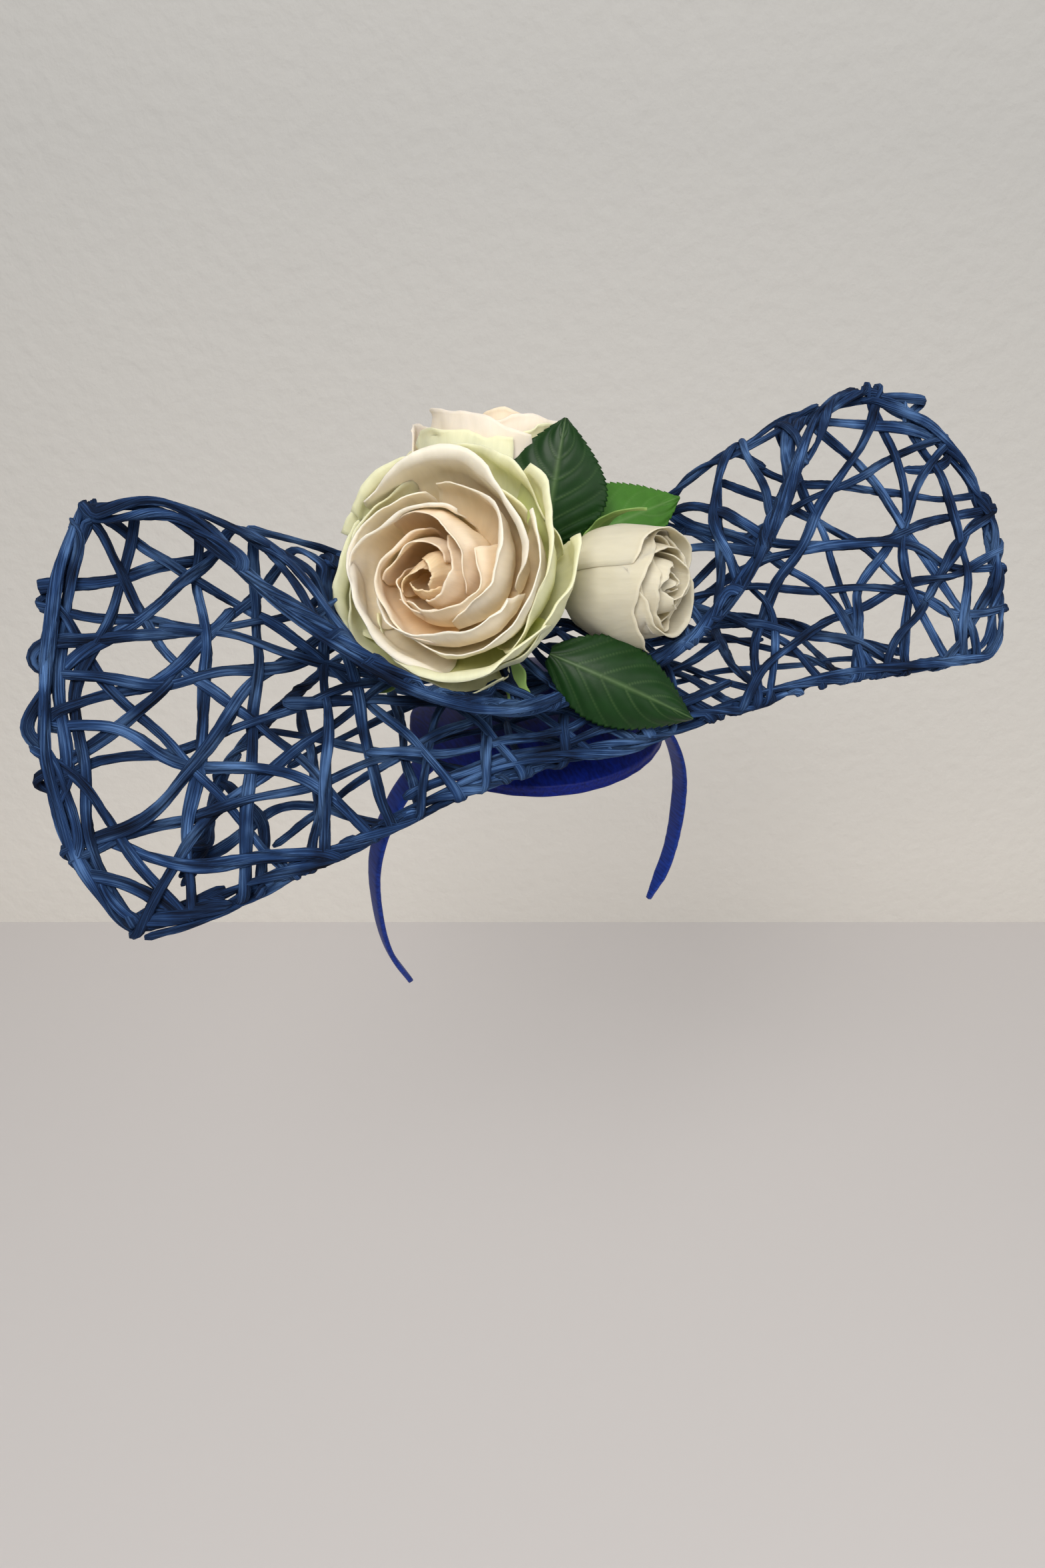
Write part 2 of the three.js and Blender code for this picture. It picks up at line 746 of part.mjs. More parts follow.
flowers.forEach(addFlower);

const leaf_face = [-0.38, -0.74, 0.56];
const leaves = [
  {
    name: 'leaf_upper',
    root: [-1, -0.8, deck + 65.5],
    tip: [13, 10, deck + 110.5],
    face: leaf_face,
    width: 39,
    bow: 2,
    fold: -3,
    material: dark_leaf,
  },
  {
    name: 'leaf_side',
    root: [7, 2.2, deck + 61.2],
    tip: [60, -2.8, deck + 79.2],
    face: leaf_face,
    width: 34,
    bow: 2,
    fold: -2,
    material: mid_leaf,
  },
  {
    name: 'leaf_lower',
    root: [-17, -42, deck + 39],
    tip: [30, -75, deck + 14],
    face: leaf_face,
    width: 32,
    bow: 4,
    fold: -4,
    material: dark_leaf,
  },
];
for (const leaf of leaves) {
  const surface = leafSurface(leaf);
  addMesh(leaf.name, sheetBody(surface, 4, 5, leaf_thickness), leaf.material);
  spaceRound(surface, 4, 5, leaf_thickness);
}

// Lattice, cut clear of the flowers and leaves
function latticeNet() {
  let net = null;
  for (const solid of latticeSolids()) {
    net = net ? net.add(solid) : solid;
  }
  net = net.simplify(crumb_size);
  for (const space of spaces) {
    net = net.subtract(toSolid(space));
  }
  return toGeometry(largestPiece(net));
}

addMesh('net', latticeNet(), navy_cord);

export default hat;
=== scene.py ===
# Looks of the lattice fascinator hat: twisted paper cords, satin cap and band, cloth flowers.
# Lengths are millimetres, in the model's frame, until a mesh is made.

import math

import bpy
import numpy as np
from mathutils import Matrix, Vector, noise


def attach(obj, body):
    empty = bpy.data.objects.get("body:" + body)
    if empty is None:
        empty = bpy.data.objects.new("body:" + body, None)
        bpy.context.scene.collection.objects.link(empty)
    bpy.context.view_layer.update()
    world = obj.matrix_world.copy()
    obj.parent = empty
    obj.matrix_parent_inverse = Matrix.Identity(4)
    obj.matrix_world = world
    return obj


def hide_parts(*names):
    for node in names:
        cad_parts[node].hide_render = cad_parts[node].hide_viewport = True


# The noise module starts from the clock unless it is given a seed
NOISE_SEED = 7
noise.seed_set(NOISE_SEED)

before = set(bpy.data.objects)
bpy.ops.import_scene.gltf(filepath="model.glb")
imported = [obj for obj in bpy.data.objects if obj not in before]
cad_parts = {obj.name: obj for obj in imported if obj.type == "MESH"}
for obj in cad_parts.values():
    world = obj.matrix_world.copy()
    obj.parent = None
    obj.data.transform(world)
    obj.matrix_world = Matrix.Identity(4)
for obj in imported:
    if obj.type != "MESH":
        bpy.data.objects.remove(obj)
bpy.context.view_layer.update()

METRES = 0.001

# Driving sizes, as in the model
half_span = 190
rim_reach = 76
back_reach = 82
wing_height = 107
rim_fold_radius = 6
top_fold_radius = 10
belly = 0.1
band_thickness = 2.6
cap_wall = 3
seat_gap = 0.3
cord_thickness = 3.2
cap_radius = 56
cap_sag = 13
cap_side = 5
cap_top = band_thickness + seat_gap + cap_wall + seat_gap
deck = cap_top + seat_gap + cord_thickness / 2


def linear(red, green, blue):
    """A linear colour from the 0 to 255 values that the eye sees."""
    return tuple(
        (c / 12.92 if c <= 0.04045 else ((c + 0.055) / 1.055) ** 2.4)
        for c in (red / 255, green / 255, blue / 255)
    )


# Meshes

def make_piece(name, points, faces, uvs=None, tints=None):
    """A mesh object from millimetre points, with optional corner UVs and point colours."""
    mesh = bpy.data.meshes.new(name)
    mesh.from_pydata((np.asarray(points) * METRES).tolist(), [], faces)
    if uvs is not None:
        layer = mesh.uv_layers.new(name="run")
        layer.data.foreach_set("uv", np.asarray(uvs, dtype=np.float32).ravel())
    if tints is not None:
        colours = mesh.color_attributes.new(name="tint", type="FLOAT_COLOR", domain="POINT")
        rgba = np.ones((len(points), 4), dtype=np.float32)
        rgba[:, :3] = tints
        colours.data.foreach_set("color", rgba.ravel())
    mesh.polygons.foreach_set("use_smooth", [True] * len(mesh.polygons))
    mesh.update()
    piece = bpy.data.objects.new(name, mesh)
    bpy.context.scene.collection.objects.link(piece)
    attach(piece, "root")
    return piece


def grid_faces(rows, columns, first=0, closed=False):
    """Faces of a grid of points, closed round its columns or open."""
    faces = []
    last = columns if closed else columns - 1
    for row in range(rows - 1):
        for column in range(last):
            beside = (column + 1) % columns
            low = first + row * columns
            high = low + columns
            faces.append((low + column, low + beside, high + beside, high + column))
    return faces


def run_along(points):
    """Length from the first point to each point of a path."""
    return np.concatenate([[0], np.cumsum(np.linalg.norm(np.diff(points, axis=0), axis=1))])


def smooth_path(points, pitch):
    """Points a fixed pitch apart on a smooth curve through the given ones."""
    points = np.asarray(points, dtype=float)
    chords = np.linalg.norm(np.diff(points, axis=0), axis=1)
    knots = np.concatenate([[0], np.cumsum(chords)])
    slopes = np.gradient(points, knots, axis=0) if len(points) > 2 else None
    if slopes is None:
        dense = np.linspace(points[0], points[1], 40)
    else:
        parts = []
        for index, width in enumerate(chords):
            share = np.linspace(0, 1, 24)[:, None]
            square = share ** 2
            cube = share ** 3
            part = (2 * cube - 3 * square + 1) * points[index]
            part = part + (cube - 2 * square + share) * width * slopes[index]
            part = part + (3 * square - 2 * cube) * points[index + 1]
            part = part + (cube - square) * width * slopes[index + 1]
            parts.append(part[:-1])
        dense = np.concatenate(parts + [points[-1:]])
    return resample(dense, pitch)


def resample(dense, pitch):
    run = run_along(dense[:, :3])
    count = max(int(round(run[-1] / pitch)), 3)
    places = np.linspace(0, run[-1], count + 1)
    return np.stack([np.interp(places, run, dense[:, i]) for i in range(dense.shape[1])], axis=1)


def unit(vectors):
    return vectors / np.maximum(np.linalg.norm(vectors, axis=-1, keepdims=True), 1e-9)


# The bent sheet that the cords lie on

# Cross sections from wing to wing: station as a share of half_span, forward places as shares of
# rim_reach, backward ones as shares of back_reach, heights as shares of wing_height
section_columns = (
    "station", "rim_forward", "rim_height", "top_back", "top_height",
    "lip_forward", "lip_height", "under_back",
)
section_rows = (
    (-1.05, 1.01, -0.03, 0.04, 0.99, -0.04, 0.99, -0.9),
    (-0.86, 1.0, -0.04, 0.05, 0.98, 0.02, 0.98, -0.74),
    (-0.74, 0.98, -0.03, 0.04, 0.96, 0.2, 0.97, -0.12),
    (-0.6, 0.95, 0.0, 0.1, 0.83, 0.6, 0.76, 0.28),
    (-0.45, 0.91, 0.04, 0.18, 0.69, 0.79, 0.51, 0.6),
    (-0.28, 0.87, 0.06, 0.24, 0.55, 0.79, 0.32, 0.87),
    (-0.08, 0.84, 0.05, 0.28, 0.42, 0.74, 0.25, 1.0),
    (0.08, 0.84, 0.06, 0.28, 0.42, 0.74, 0.28, 1.0),
    (0.24, 0.87, 0.08, 0.24, 0.54, 0.7, 0.39, 0.92),
    (0.4, 0.89, 0.1, 0.18, 0.7, 0.59, 0.61, 0.7),
    (0.55, 0.93, 0.12, 0.11, 0.84, 0.38, 0.85, 0.36),
    (0.7, 0.96, 0.1, 0.06, 0.94, 0.13, 0.97, 0.02),
    (0.82, 0.99, 0.09, 0.02, 1.0, 0.01, 1.0, -0.46),
    (1.0, 1.01, 0.09, 0.0, 1.01, 0.0, 1.01, -0.86),
    (1.16, 1.02, 0.09, 0.0, 1.01, 0.0, 1.01, -0.9),
)
sections = np.array(section_rows)

# Outline of the wing ends: row, left station, right station
end_rows = np.array((
    (0, -0.98, 0.97),
    (0.22, -1.04, 1.07),
    (0.45, -1.04, 1.13),
    (0.65, -1.0, 1.1),
    (0.85, -0.94, 0.99),
    (1, -0.86, 0.83),
))


def section_values(stations):
    """Smooth values of every column at the stations."""
    knots = sections[:, 0]
    last = len(knots) - 1
    index = np.clip(np.searchsorted(knots, stations, side="right") - 1, 0, last - 1)
    before = sections[np.maximum(index - 1, 0)]
    start = sections[index]
    end = sections[index + 1]
    after = sections[np.minimum(index + 2, last)]
    width = (end[:, 0] - start[:, 0])[:, None]
    share = np.clip((stations[:, None] - start[:, :1]) / width, 0, 1)
    start_slope = (end - before) / (end[:, :1] - before[:, :1]) * width
    end_slope = (after - start) / (after[:, :1] - start[:, :1]) * width
    square = share ** 2
    cube = share ** 3
    values = (2 * cube - 3 * square + 1) * start + (cube - 2 * square + share) * start_slope
    values = values + (3 * square - 2 * cube) * end + (cube - square) * end_slope
    return [dict(zip(section_columns, row)) for row in values]


def section_line(at, bend_steps=12, spare=25):
    """One cross section in Y and Z with its run from the rim, and a straight spare at both ends."""
    rim = np.array((-at["rim_forward"] * rim_reach, deck + at["rim_height"] * wing_height))
    top = np.array((at["top_back"] * back_reach, deck + at["top_height"] * wing_height))
    lip = np.array((-at["lip_forward"] * rim_reach, deck + at["lip_height"] * wing_height))
    under = np.array((at["under_back"] * back_reach, deck))
    rim_bend = min(rim_fold_radius, 0.3 * np.linalg.norm(under - rim))
    top_bend = min(top_fold_radius, 0.3 * np.linalg.norm(lip - top))
    middle = (rim + top) / 2 + 0.7 * belly * wing_height * np.array((1, -1))
    controls = [
        under,
        rim - (0, rim_bend),
        rim + (0, rim_bend),
        middle,
        top + 0.8 * top_bend * np.array((1, -1)),
        top + top_bend * np.array((-0.6, 0.4)),
        lip,
    ]
    points = [under]
    marks = []
    for turn in range(1, len(controls) - 1):
        start = controls[0] if turn == 1 else (controls[turn - 1] + controls[turn]) / 2
        is_last = turn == len(controls) - 2
        end = controls[-1] if is_last else (controls[turn] + controls[turn + 1]) / 2
        for step in range(1, bend_steps + 1):
            t = step / bend_steps
            points.append((1 - t) ** 2 * start + 2 * t * (1 - t) * controls[turn] + t ** 2 * end)
        marks.append(len(points))
    points = np.array(points)
    first = points[0] + unit(points[0] - points[1]) * spare
    last = points[-1] + unit(points[-1] - points[-3]) * spare
    points = np.vstack([first, points, last])
    run = run_along(points)
    rim_run = run[marks[0]]
    top_run = run[marks[3]]
    return points, run - rim_run, (rim_run - run[1], top_run - rim_run, run[-2] - top_run)


station_step = 0.01
girth_step = 1.0
grid_stations = np.arange(-1.26, 1.26 + station_step / 2, station_step)
grid_girths = np.arange(-185, 235, girth_step)
sheet_grid = []
sheet_sizes = []
for values in section_values(grid_stations):
    line, run, sizes = section_line(values)
    sheet_grid.append(np.stack([np.interp(grid_girths, run, line[:, i]) for i in range(2)], axis=1))
    sheet_sizes.append(sizes)
sheet_grid = np.array(sheet_grid)
sheet_sizes = np.array(sheet_sizes)


def girth_at(stations, rows):
    """Run round the section of rows: -1 under edge, 0 rim, 1 top fold, 2 lip."""
    under, wall, flap = (np.interp(stations, grid_stations, sheet_sizes[:, i]) for i in range(3))
    girths = np.where(rows < 0, rows * under, rows * wall)
    return np.where(rows > 1, wall + (rows - 1) * flap, girths)


def on_sheet(flat):
    """Places in space of flat places: run along the hat and girth, both in millimetres."""
    column = (flat[:, 0] / half_span - grid_stations[0]) / station_step
    column = np.clip(column, 0, len(grid_stations) - 1.001)
    row = np.clip((flat[:, 1] - grid_girths[0]) / girth_step, 0, len(grid_girths) - 1.001)
    i = column.astype(int)
    j = row.astype(int)
    a = (column - i)[:, None]
    b = (row - j)[:, None]
    low = sheet_grid[i, j] * (1 - a) + sheet_grid[i + 1, j] * a
    high = sheet_grid[i, j + 1] * (1 - a) + sheet_grid[i + 1, j + 1] * a
    return np.column_stack([flat[:, 0], low * (1 - b) + high * b])


def sheet_axes(flat, reach=2.0):
    """Unit directions along the hat, round the section and out of the sheet."""
    along = unit(on_sheet(flat + (reach, 0)) - on_sheet(flat - (reach, 0)))
    round_it = unit(on_sheet(flat + (0, reach)) - on_sheet(flat - (0, reach)))
    return along, round_it, unit(np.cross(along, round_it))


def end_station(side, row):
    return np.interp(np.clip(row, 0, 1), end_rows[:, 0], end_rows[:, 1 if side < 0 else 2])


def to_flat(path):
    path = np.asarray(path, dtype=float)
    return np.column_stack([path[:, 0] * half_span, girth_at(path[:, 0], path[:, 1])])


# Cords

cord_pitch = 2.2
cord_sides = 20
mean_width = 3.8
mean_thickness = 2.5
edge_radius = 1.9
# Folds along a cord: turns with its twist, and depth as a share of its radius; the folds' depth also darkens
# the cord's tint as painted shade
cord_folds = ((1.0, 0.3), (1.0, 0.24), (0.8, 0.22), (1.25, 0.2), (1.0, 0.16))
# Strands of the edge cords: spread in millimetres, start in radians, millimetres a radian
outer_strands = ((1.9, 0, 12), (1.9, math.pi, 12), (3.4, 1, 26))
back_strands = ((1.5, 0, 9), (1.5, math.pi, 9))
# How near an edge a cord's end counts as on it, as a share
EDGE_MARGIN = 0.035
# A cord's turn round an edge: its angles in degrees, then its tail's reach and depth in millimetres
hook_angles = (60, 20, -20, -60)
hook_tail = ((4, 2.0), (8, 0.9), (11, 0))
MOST_DRIFT = 5
# Length of the wall beside a wing's end, for moves along that end
END_RUN = 90
rng = np.random.default_rng(11)


class CordMesh:
    """Collects cords into one mesh."""

    def __init__(self):
        self.points = []
        self.faces = []
        self.uvs = []
        self.tints = []
        self.count = 0

    def add(self, path, ups, width, thickness):
        """A crumpled twisted paper cord along a path, with its flat side facing ups, with painted shade in
        its folds and painted light on its ridges.
        """
        rings = len(path)
        run = run_along(path)
        tangent = unit(np.gradient(path, axis=0))
        side = unit(np.cross(tangent, ups))
        normal = np.cross(side, tangent)
        phases = rng.uniform(0, 2 * math.pi, 6)
        swell = 1 + 0.09 * np.sin(run / 17 + phases[0]) + 0.07 * np.sin(run / 7.3 + phases[1])
        pinch = 1 + 0.08 * np.sin(run / 9.1 + phases[2])
        twist = run / 13 + 0.9 * np.sin(run / 31 + phases[3])
        angle = np.linspace(0, 2 * math.pi, cord_sides, endpoint=False)[None, :]
        turned = angle + twist[:, None]
        crease = 1.08 + 0.07 * np.sin(2 * turned + phases[4]) + 0.05 * np.sin(3 * turned + phases[5])
        # dark sums the depth of the folds, which the tint shows as painted shade
        dark = np.zeros_like(turned)
        for fold, (turns, depth) in enumerate(cord_folds):
            place = angle + turns * twist[:, None] + fold * 2 * math.pi / 5
            place = place + 0.4 * np.sin(run / 23 + fold)[:, None]
            cut = depth * np.exp(-((np.sin(place / 2) / 0.17) ** 2))
            crease = crease - cut
            dark = dark + cut
        crease = crease + 0.02 * rng.standard_normal(crease.shape)
        taper = np.ones(rings)
        taper[0] = taper[-1] = 0.55
        half_width = (width / 2 * swell * taper)[:, None] * crease
        half_thickness = (thickness / 2 * pinch * taper)[:, None] * crease
        across = (half_width * np.cos(angle))[:, :, None] * side[:, None, :]
        out = (half_thickness * np.sin(angle))[:, :, None] * normal[:, None, :]
        body = (path[:, None, :] + across + out).reshape(-1, 3)
        first = self.count
        self.points.append(body)
        self.points.append(path[[0, -1]])
        faces = grid_faces(rings, cord_sides, first, closed=True)
        starts = run / 10
        for row in range(rings - 1):
            for column in range(cord_sides):
                low, high = column / cord_sides, (column + 1) / cord_sides
                near, far = starts[row], starts[row + 1]
                self.uvs += [(near, low), (near, high), (far, high), (far, low)]
        centre = first + rings * cord_sides
        end = first + (rings - 1) * cord_sides
        for column in range(cord_sides):
            beside = (column + 1) % cord_sides
            faces.append((first + beside, first + column, centre))
            faces.append((end + column, end + beside, centre + 1))
            self.uvs += [(0, 0)] * 6
        self.faces += faces
        shade = rng.uniform(0.74, 1.16)
        # Painted shade and light: the tint darkens in the folds and lightens a little on the ridges, whatever
        # the lamps do
        tone_with_painted_fold_shade = 1.12 - 2.1 * np.minimum(dark, 0.34) + 0.05 * np.sin(2 * turned + phases[4])
        tone_with_painted_fold_shade = shade * tone_with_painted_fold_shade.reshape(-1, 1)
        self.tints.append(np.concatenate([np.repeat(tone_with_painted_fold_shade, 3, axis=1), np.full((2, 3), shade)]))
        self.count += len(body) + 2

    def piece(self, name, material):
        points = np.concatenate(self.points)
        piece = make_piece(name, points, self.faces, self.uvs, np.concatenate(self.tints))
        piece.data.materials.append(material)
        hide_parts("net")


def crossings(paths):
    """For each flat path, the runs where others cross it, with +1 where it passes over."""
    found = [[] for _ in paths]
    coarse = [path[::3] if len(path) > 8 else path for path in paths]
    runs = [run_along(path) for path in coarse]
    for i, first in enumerate(coarse):
        a = first[:-1, None]
        r = (first[1:] - first[:-1])[:, None]
        for j in range(i + 1, len(coarse)):
            second = coarse[j]
            c = second[None, :-1]
            s = (second[1:] - second[:-1])[None]
            cross = r[..., 0] * s[..., 1] - r[..., 1] * s[..., 0]
            cross = np.where(np.abs(cross) < 1e-9, 1e-9, cross)
            gap = c - a
            t = (gap[..., 0] * s[..., 1] - gap[..., 1] * s[..., 0]) / cross
            u = (gap[..., 0] * r[..., 1] - gap[..., 1] * r[..., 0]) / cross
            hits = np.argwhere((t >= 0) & (t < 1) & (u >= 0) & (u < 1))
            for m, n in hits:
                over = 1 if rng.random() < 0.5 else -1
                found[i].append((runs[i][m] + t[m, n] * np.linalg.norm(r[m, 0]), over))
                found[j].append((runs[j][n] + u[m, n] * np.linalg.norm(s[0, n]), -over))
    return [sorted(rows) for rows in found]


def height_profile(run, rows, lift):
    """Height over the sheet along a cord: over or under at each crossing, easing between them."""
    if not rows:
        return np.zeros(len(run))
    places, signs = np.array(rows).T
    heights = np.interp(run, places, signs * lift)
    reach = 4
    kernel = np.hanning(2 * reach + 1)
    padded = np.pad(heights, reach, mode="edge")
    return np.convolve(padded, kernel / kernel.sum(), mode="valid")


def edge_kind(station, row):
    """The edge that a cord's end lies on, if any."""
    if abs(row) < EDGE_MARGIN:
        return "rim"
    if row > 1.94:
        return "lip"
    if row < -0.96:
        return "back"
    if 0 <= row <= 1 and abs(station) > abs(end_station(station, row)) - EDGE_MARGIN:
        return "end"
    return None


def beside_edge(station, row, kind, move):
    """The place on an edge that lies a run further along it."""
    if kind == "end":
        row = row + move / END_RUN
        return on_sheet(to_flat([(float(end_station(station, row)), row)]))[0]
    return on_sheet(to_flat([(station + move / half_span, row)]))[0]


def hook(station, row, kind, drift):
    """Points and ups of a cord's turn round the edge cord, ending along that edge."""
    flat = to_flat([(station, row)])[0]
    along, round_it, normal = (axis[0] for axis in sheet_axes(flat[None]))
    outward = {
        "rim": -sheet_axes(np.array([[flat[0], 9.0]]))[1][0],
        "lip": round_it,
        "back": -round_it,
        "end": along * np.sign(flat[0]),
    }[kind]
    if kind == "rim":
        normal = sheet_axes(np.array([[flat[0], 9.0]]))[2][0]
    edge = along if kind != "end" else round_it
    centre = on_sheet(flat[None])[0]
    radius = edge_radius + mean_thickness / 2
    points = []
    ups = []
    for step, degrees in enumerate(hook_angles):
        angle = math.radians(degrees)
        radial = math.cos(angle) * outward + math.sin(angle) * normal
        points.append(centre + radial * radius + edge * drift * step / len(hook_angles))
        ups.append(radial)
    way = math.copysign(1, drift)
    if kind == "end" and abs(row - 0.5) > 0.3:
        way = math.copysign(1, 0.5 - row)
    if kind != "end" and abs(station) > 0.7:
        way = -math.copysign(1, station)
    for reach, depth in hook_tail:
        points.append(beside_edge(station, row, kind, way * reach) - normal * depth - outward * depth)
        ups.append(-normal)
    return points, ups


def cord_path(path, rows):
    """Space path and ups of a charted cord whose flat path and crossings are given."""
    run = run_along(path)
    height = height_profile(run, rows, mean_thickness / 2 + 0.1)
    _, _, normal = sheet_axes(path)
    points = on_sheet(path) + normal * height[:, None]
    return points, normal


def hooked(path, chart, points, ups):
    """Adds turns round the edges at the cord's ends."""
    for at_end in (False, True):
        station, row = chart[-1] if at_end else chart[0]
        kind = edge_kind(station, row)
        if kind is None:
            continue
        flat = to_flat([(station, row)])[0]
        back = 3
        inner = path[-1 - back] if at_end else path[back]
        step = flat - inner
        slope = step[0] if kind != "end" else step[1]
        drift = float(np.clip(slope, -MOST_DRIFT, MOST_DRIFT))
        extra, extra_ups = hook(station, row, kind, drift)
        if at_end:
            points = np.vstack([points[:-back], extra])
            ups = np.vstack([ups[:-back], extra_ups])
        else:
            points = np.vstack([extra[::-1], points[back:]])
            ups = np.vstack([extra_ups[::-1], ups[back:]])
    both = resample(np.hstack([points, ups]), cord_pitch)
    kernel = np.array((0.25, 0.5, 0.25))
    for _ in range(3):
        both[:, :3] = clear_of_flowers(both[:, :3])
        for i in range(6):
            both[1:-1, i] = np.convolve(both[:, i], kernel, mode="valid")
    return clear_of_flowers(both[:, :3]), unit(both[:, 3:])


# Frames and profiles of the flowers
def flower_matrix(place, azimuth, elevation):
    turn = math.radians(azimuth)
    rise = math.radians(elevation)
    facing = Vector((math.sin(turn) * math.cos(rise), -math.cos(turn) * math.cos(rise), math.sin(rise)))
    spin = Vector((0, 0, 1)).rotation_difference(facing)
    return Matrix.Translation(place) @ spin.to_matrix().to_4x4()


def bend_points(controls, count):
    p0, p1, p2 = (np.array(c, dtype=float) for c in controls)
    t = np.linspace(0, 1, count)[:, None]
    return (1 - t) ** 2 * p0 + 2 * t * (1 - t) * p1 + t ** 2 * p2


PEACH = linear(255, 223, 180)
BLUSH = linear(255, 232, 202)
CREAM = linear(253, 237, 205)
PALE = linear(255, 243, 219)
LIME = linear(220, 226, 150)
GREEN_CREAM = linear(242, 240, 196)
ROSE_TAN = linear(252, 236, 216)
IVORY = linear(224, 214, 189)
BUTTER = linear(236, 222, 170)
AMBER = linear(255, 216, 162)
MOSS = linear(200, 208, 120)

# Rings of petals, outermost first: the profile runs from root by bulge to tip as shares of the
# flower's radius, out and up; roll is the radius of the rim's roll in millimetres and roll_turn its
# degrees; lap is how far a petal's sides stand out and in; shift, which may be left out, moves the
# ring aside. The last ring of the bud lines its opening
ring_fields = (
    "count", "root", "bulge", "tip", "turn", "deep", "inner", "rim", "roll", "roll_turn", "overlap",
    "lap", "shift",
)


def rings_from(bend, rows):
    """Rings of petals from rows of their fields; bend is the size of the uneven bends."""
    return [dict(zip(ring_fields, row), bend=bend) for row in rows]


rose_rings = rings_from(1.0, (
    (5, (0.2, 0.0), (0.98, 0.02), (0.93, 0.6), 0.2,
     LIME, GREEN_CREAM, GREEN_CREAM, 6.0, 60, 1.35, 3),
    (4, (0.2, 0.08), (0.88, 0.1), (0.86, 0.76), 0.7,
     MOSS, LIME, GREEN_CREAM, 4.4, 75, 1.4, 4),
    (3, (0.2, 0.16), (0.8, 0.16), (0.74, 0.92), 0.32,
     AMBER, CREAM, PALE, 3.6, 80, 1.45, 5, (-1, 0)),
    (3, (0.18, 0.2), (0.7, 0.3), (0.56, 0.98), 0.85,
     AMBER, CREAM, PALE, 2.6, 65, 1.5, 5.5, (-4, 0.5)),
    (3, (0.14, 0.24), (0.58, 0.42), (0.38, 1.02), 0.2,
     AMBER, PEACH, BLUSH, 2.4, 50, 1.5, 4.5, (-7, 0.5)),
    (3, (0.1, 0.26), (0.46, 0.46), (0.22, 1.0), 0.65,
     AMBER, PEACH, BLUSH, 1.6, 35, 1.45, 3, (-9, 0)),
    (3, (0.05, 0.28), (0.32, 0.52), (0.08, 0.95), 0.9,
     AMBER, PEACH, PEACH, 1.0, 30, 1.4, 1.8, (-10.5, -0.5)),
))
back_rose_rings = rings_from(1.0, (
    (4, (0.24, 0.0), (1.02, 0.04), (0.98, 0.9), 0.1,
     LIME, GREEN_CREAM, GREEN_CREAM, 5.0, 60, 1.3, 4),
    (3, (0.24, 0.08), (0.9, 0.12), (0.86, 1.16), 0.55,
     LIME, ROSE_TAN, ROSE_TAN, 4.0, 45, 1.5, 5),
    (3, (0.2, 0.14), (0.68, 0.3), (0.56, 1.16), 0.1,
     AMBER, PEACH, BLUSH, 2.4, 50, 1.45, 4),
    (3, (0.12, 0.2), (0.46, 0.5), (0.2, 1.2), 0.6,
     AMBER, PEACH, BLUSH, 1.6, 40, 1.4, 2.5),
))
bud_rings = rings_from(0.5, (
    (3, (0.35, 0.04), (1.14, 0.28), (0.86, 1.9), 0.42,
     BUTTER, IVORY, IVORY, 3.0, 50, 1.95, 1.4),
    (3, (0.3, 0.2), (1.02, 0.7), (0.6, 2.0), 0.85,
     BUTTER, IVORY, IVORY, 1.6, 30, 1.8, 1.6),
    (3, (0.2, 0.4), (0.8, 1.0), (0.32, 2.08), 0.1,
     BUTTER, IVORY, IVORY, 1.0, 20, 1.75, 2.2),
    (3, (0.1, 0.5), (0.5, 1.2), (0.08, 2.04), 0.4,
     BUTTER, IVORY, IVORY, 0.8, 20, 1.4, 1.6),
    (2, (0.2, 0.1), (1.0, 0.5), (0.74, 1.8), 0.3,
     BUTTER, IVORY, IVORY, 1.2, 25, 1.2, 1.2),
))


# Places of the flowers and leaves, as in the model
rose_matrix = flower_matrix((-34, -8, deck + 58), -40, 34)
back_rose_matrix = flower_matrix((-1, 37, deck + 63), 150, 66)
bud_matrix = flower_matrix((8, -13, deck + 52), 30, 12)
ROSE_RADIUS = 44
BACK_ROSE_RADIUS = 34
BUD_RADIUS = 23
leaf_rows = (
    ("leaf_upper", (1.5, -2, deck + 65.5), (16, 8.5, deck + 110.5), 42, 2, -3),
    ("leaf_side", (8, 1.8, deck + 60), (63.5, -4.6, deck + 75.5), 36, 2, -2),
    ("leaf_lower", (-17, -42, deck + 39), (29, -74, deck + 15), 33, 4, -4),
)
LEAF_FACE = (-0.38, -0.74, 0.56)
# Room kept between a cord's middle and a petal or leaf
CORD_ROOM = 5.2
# How far beside and before a leaf a cord is moved behind it
LEAF_SIDE_ROOM = 1.5
LEAF_FRONT_ROOM = 14


def leaf_axes(root, tip):
    along = np.subtract(tip, root)
    across = unit(np.cross(along, LEAF_FACE))
    return along, across, unit(np.cross(across, along))


def leaf_half_width(width, v):
    return width / 2 * max(0.02, math.sin(math.pi * (0.04 + 0.95 * v) ** 0.85))


def clear_of_bloom(points, matrix, profile):
    """Moves points that lie in a flower's cup behind or beside it."""
    turn = np.array(matrix.to_3x3())
    local = (points - np.array(matrix.translation)) @ turn
    radii = np.hypot(local[:, 0], local[:, 1])
    widest = int(np.argmax(profile[:, 0])) + 1
    floor = np.interp(radii, profile[:widest, 0], profile[:widest, 1]) - CORD_ROOM
    wide = np.interp(local[:, 2], profile[:, 1], profile[:, 0]) + CORD_ROOM
    top = 1.6 * profile[-1, 1] + 2 * CORD_ROOM
    inside = (radii < wide) & (local[:, 2] > floor) & (local[:, 2] < top)
    deep = local[:, 2] - floor
    aside = wide - radii
    back = inside & (deep <= aside)
    beside = inside & ~back
    local[back, 2] = floor[back]
    grow = np.where(beside, wide / np.maximum(radii, 1), 1)
    local[:, 0] *= grow
    local[:, 1] *= grow
    return local @ turn.T + np.array(matrix.translation)


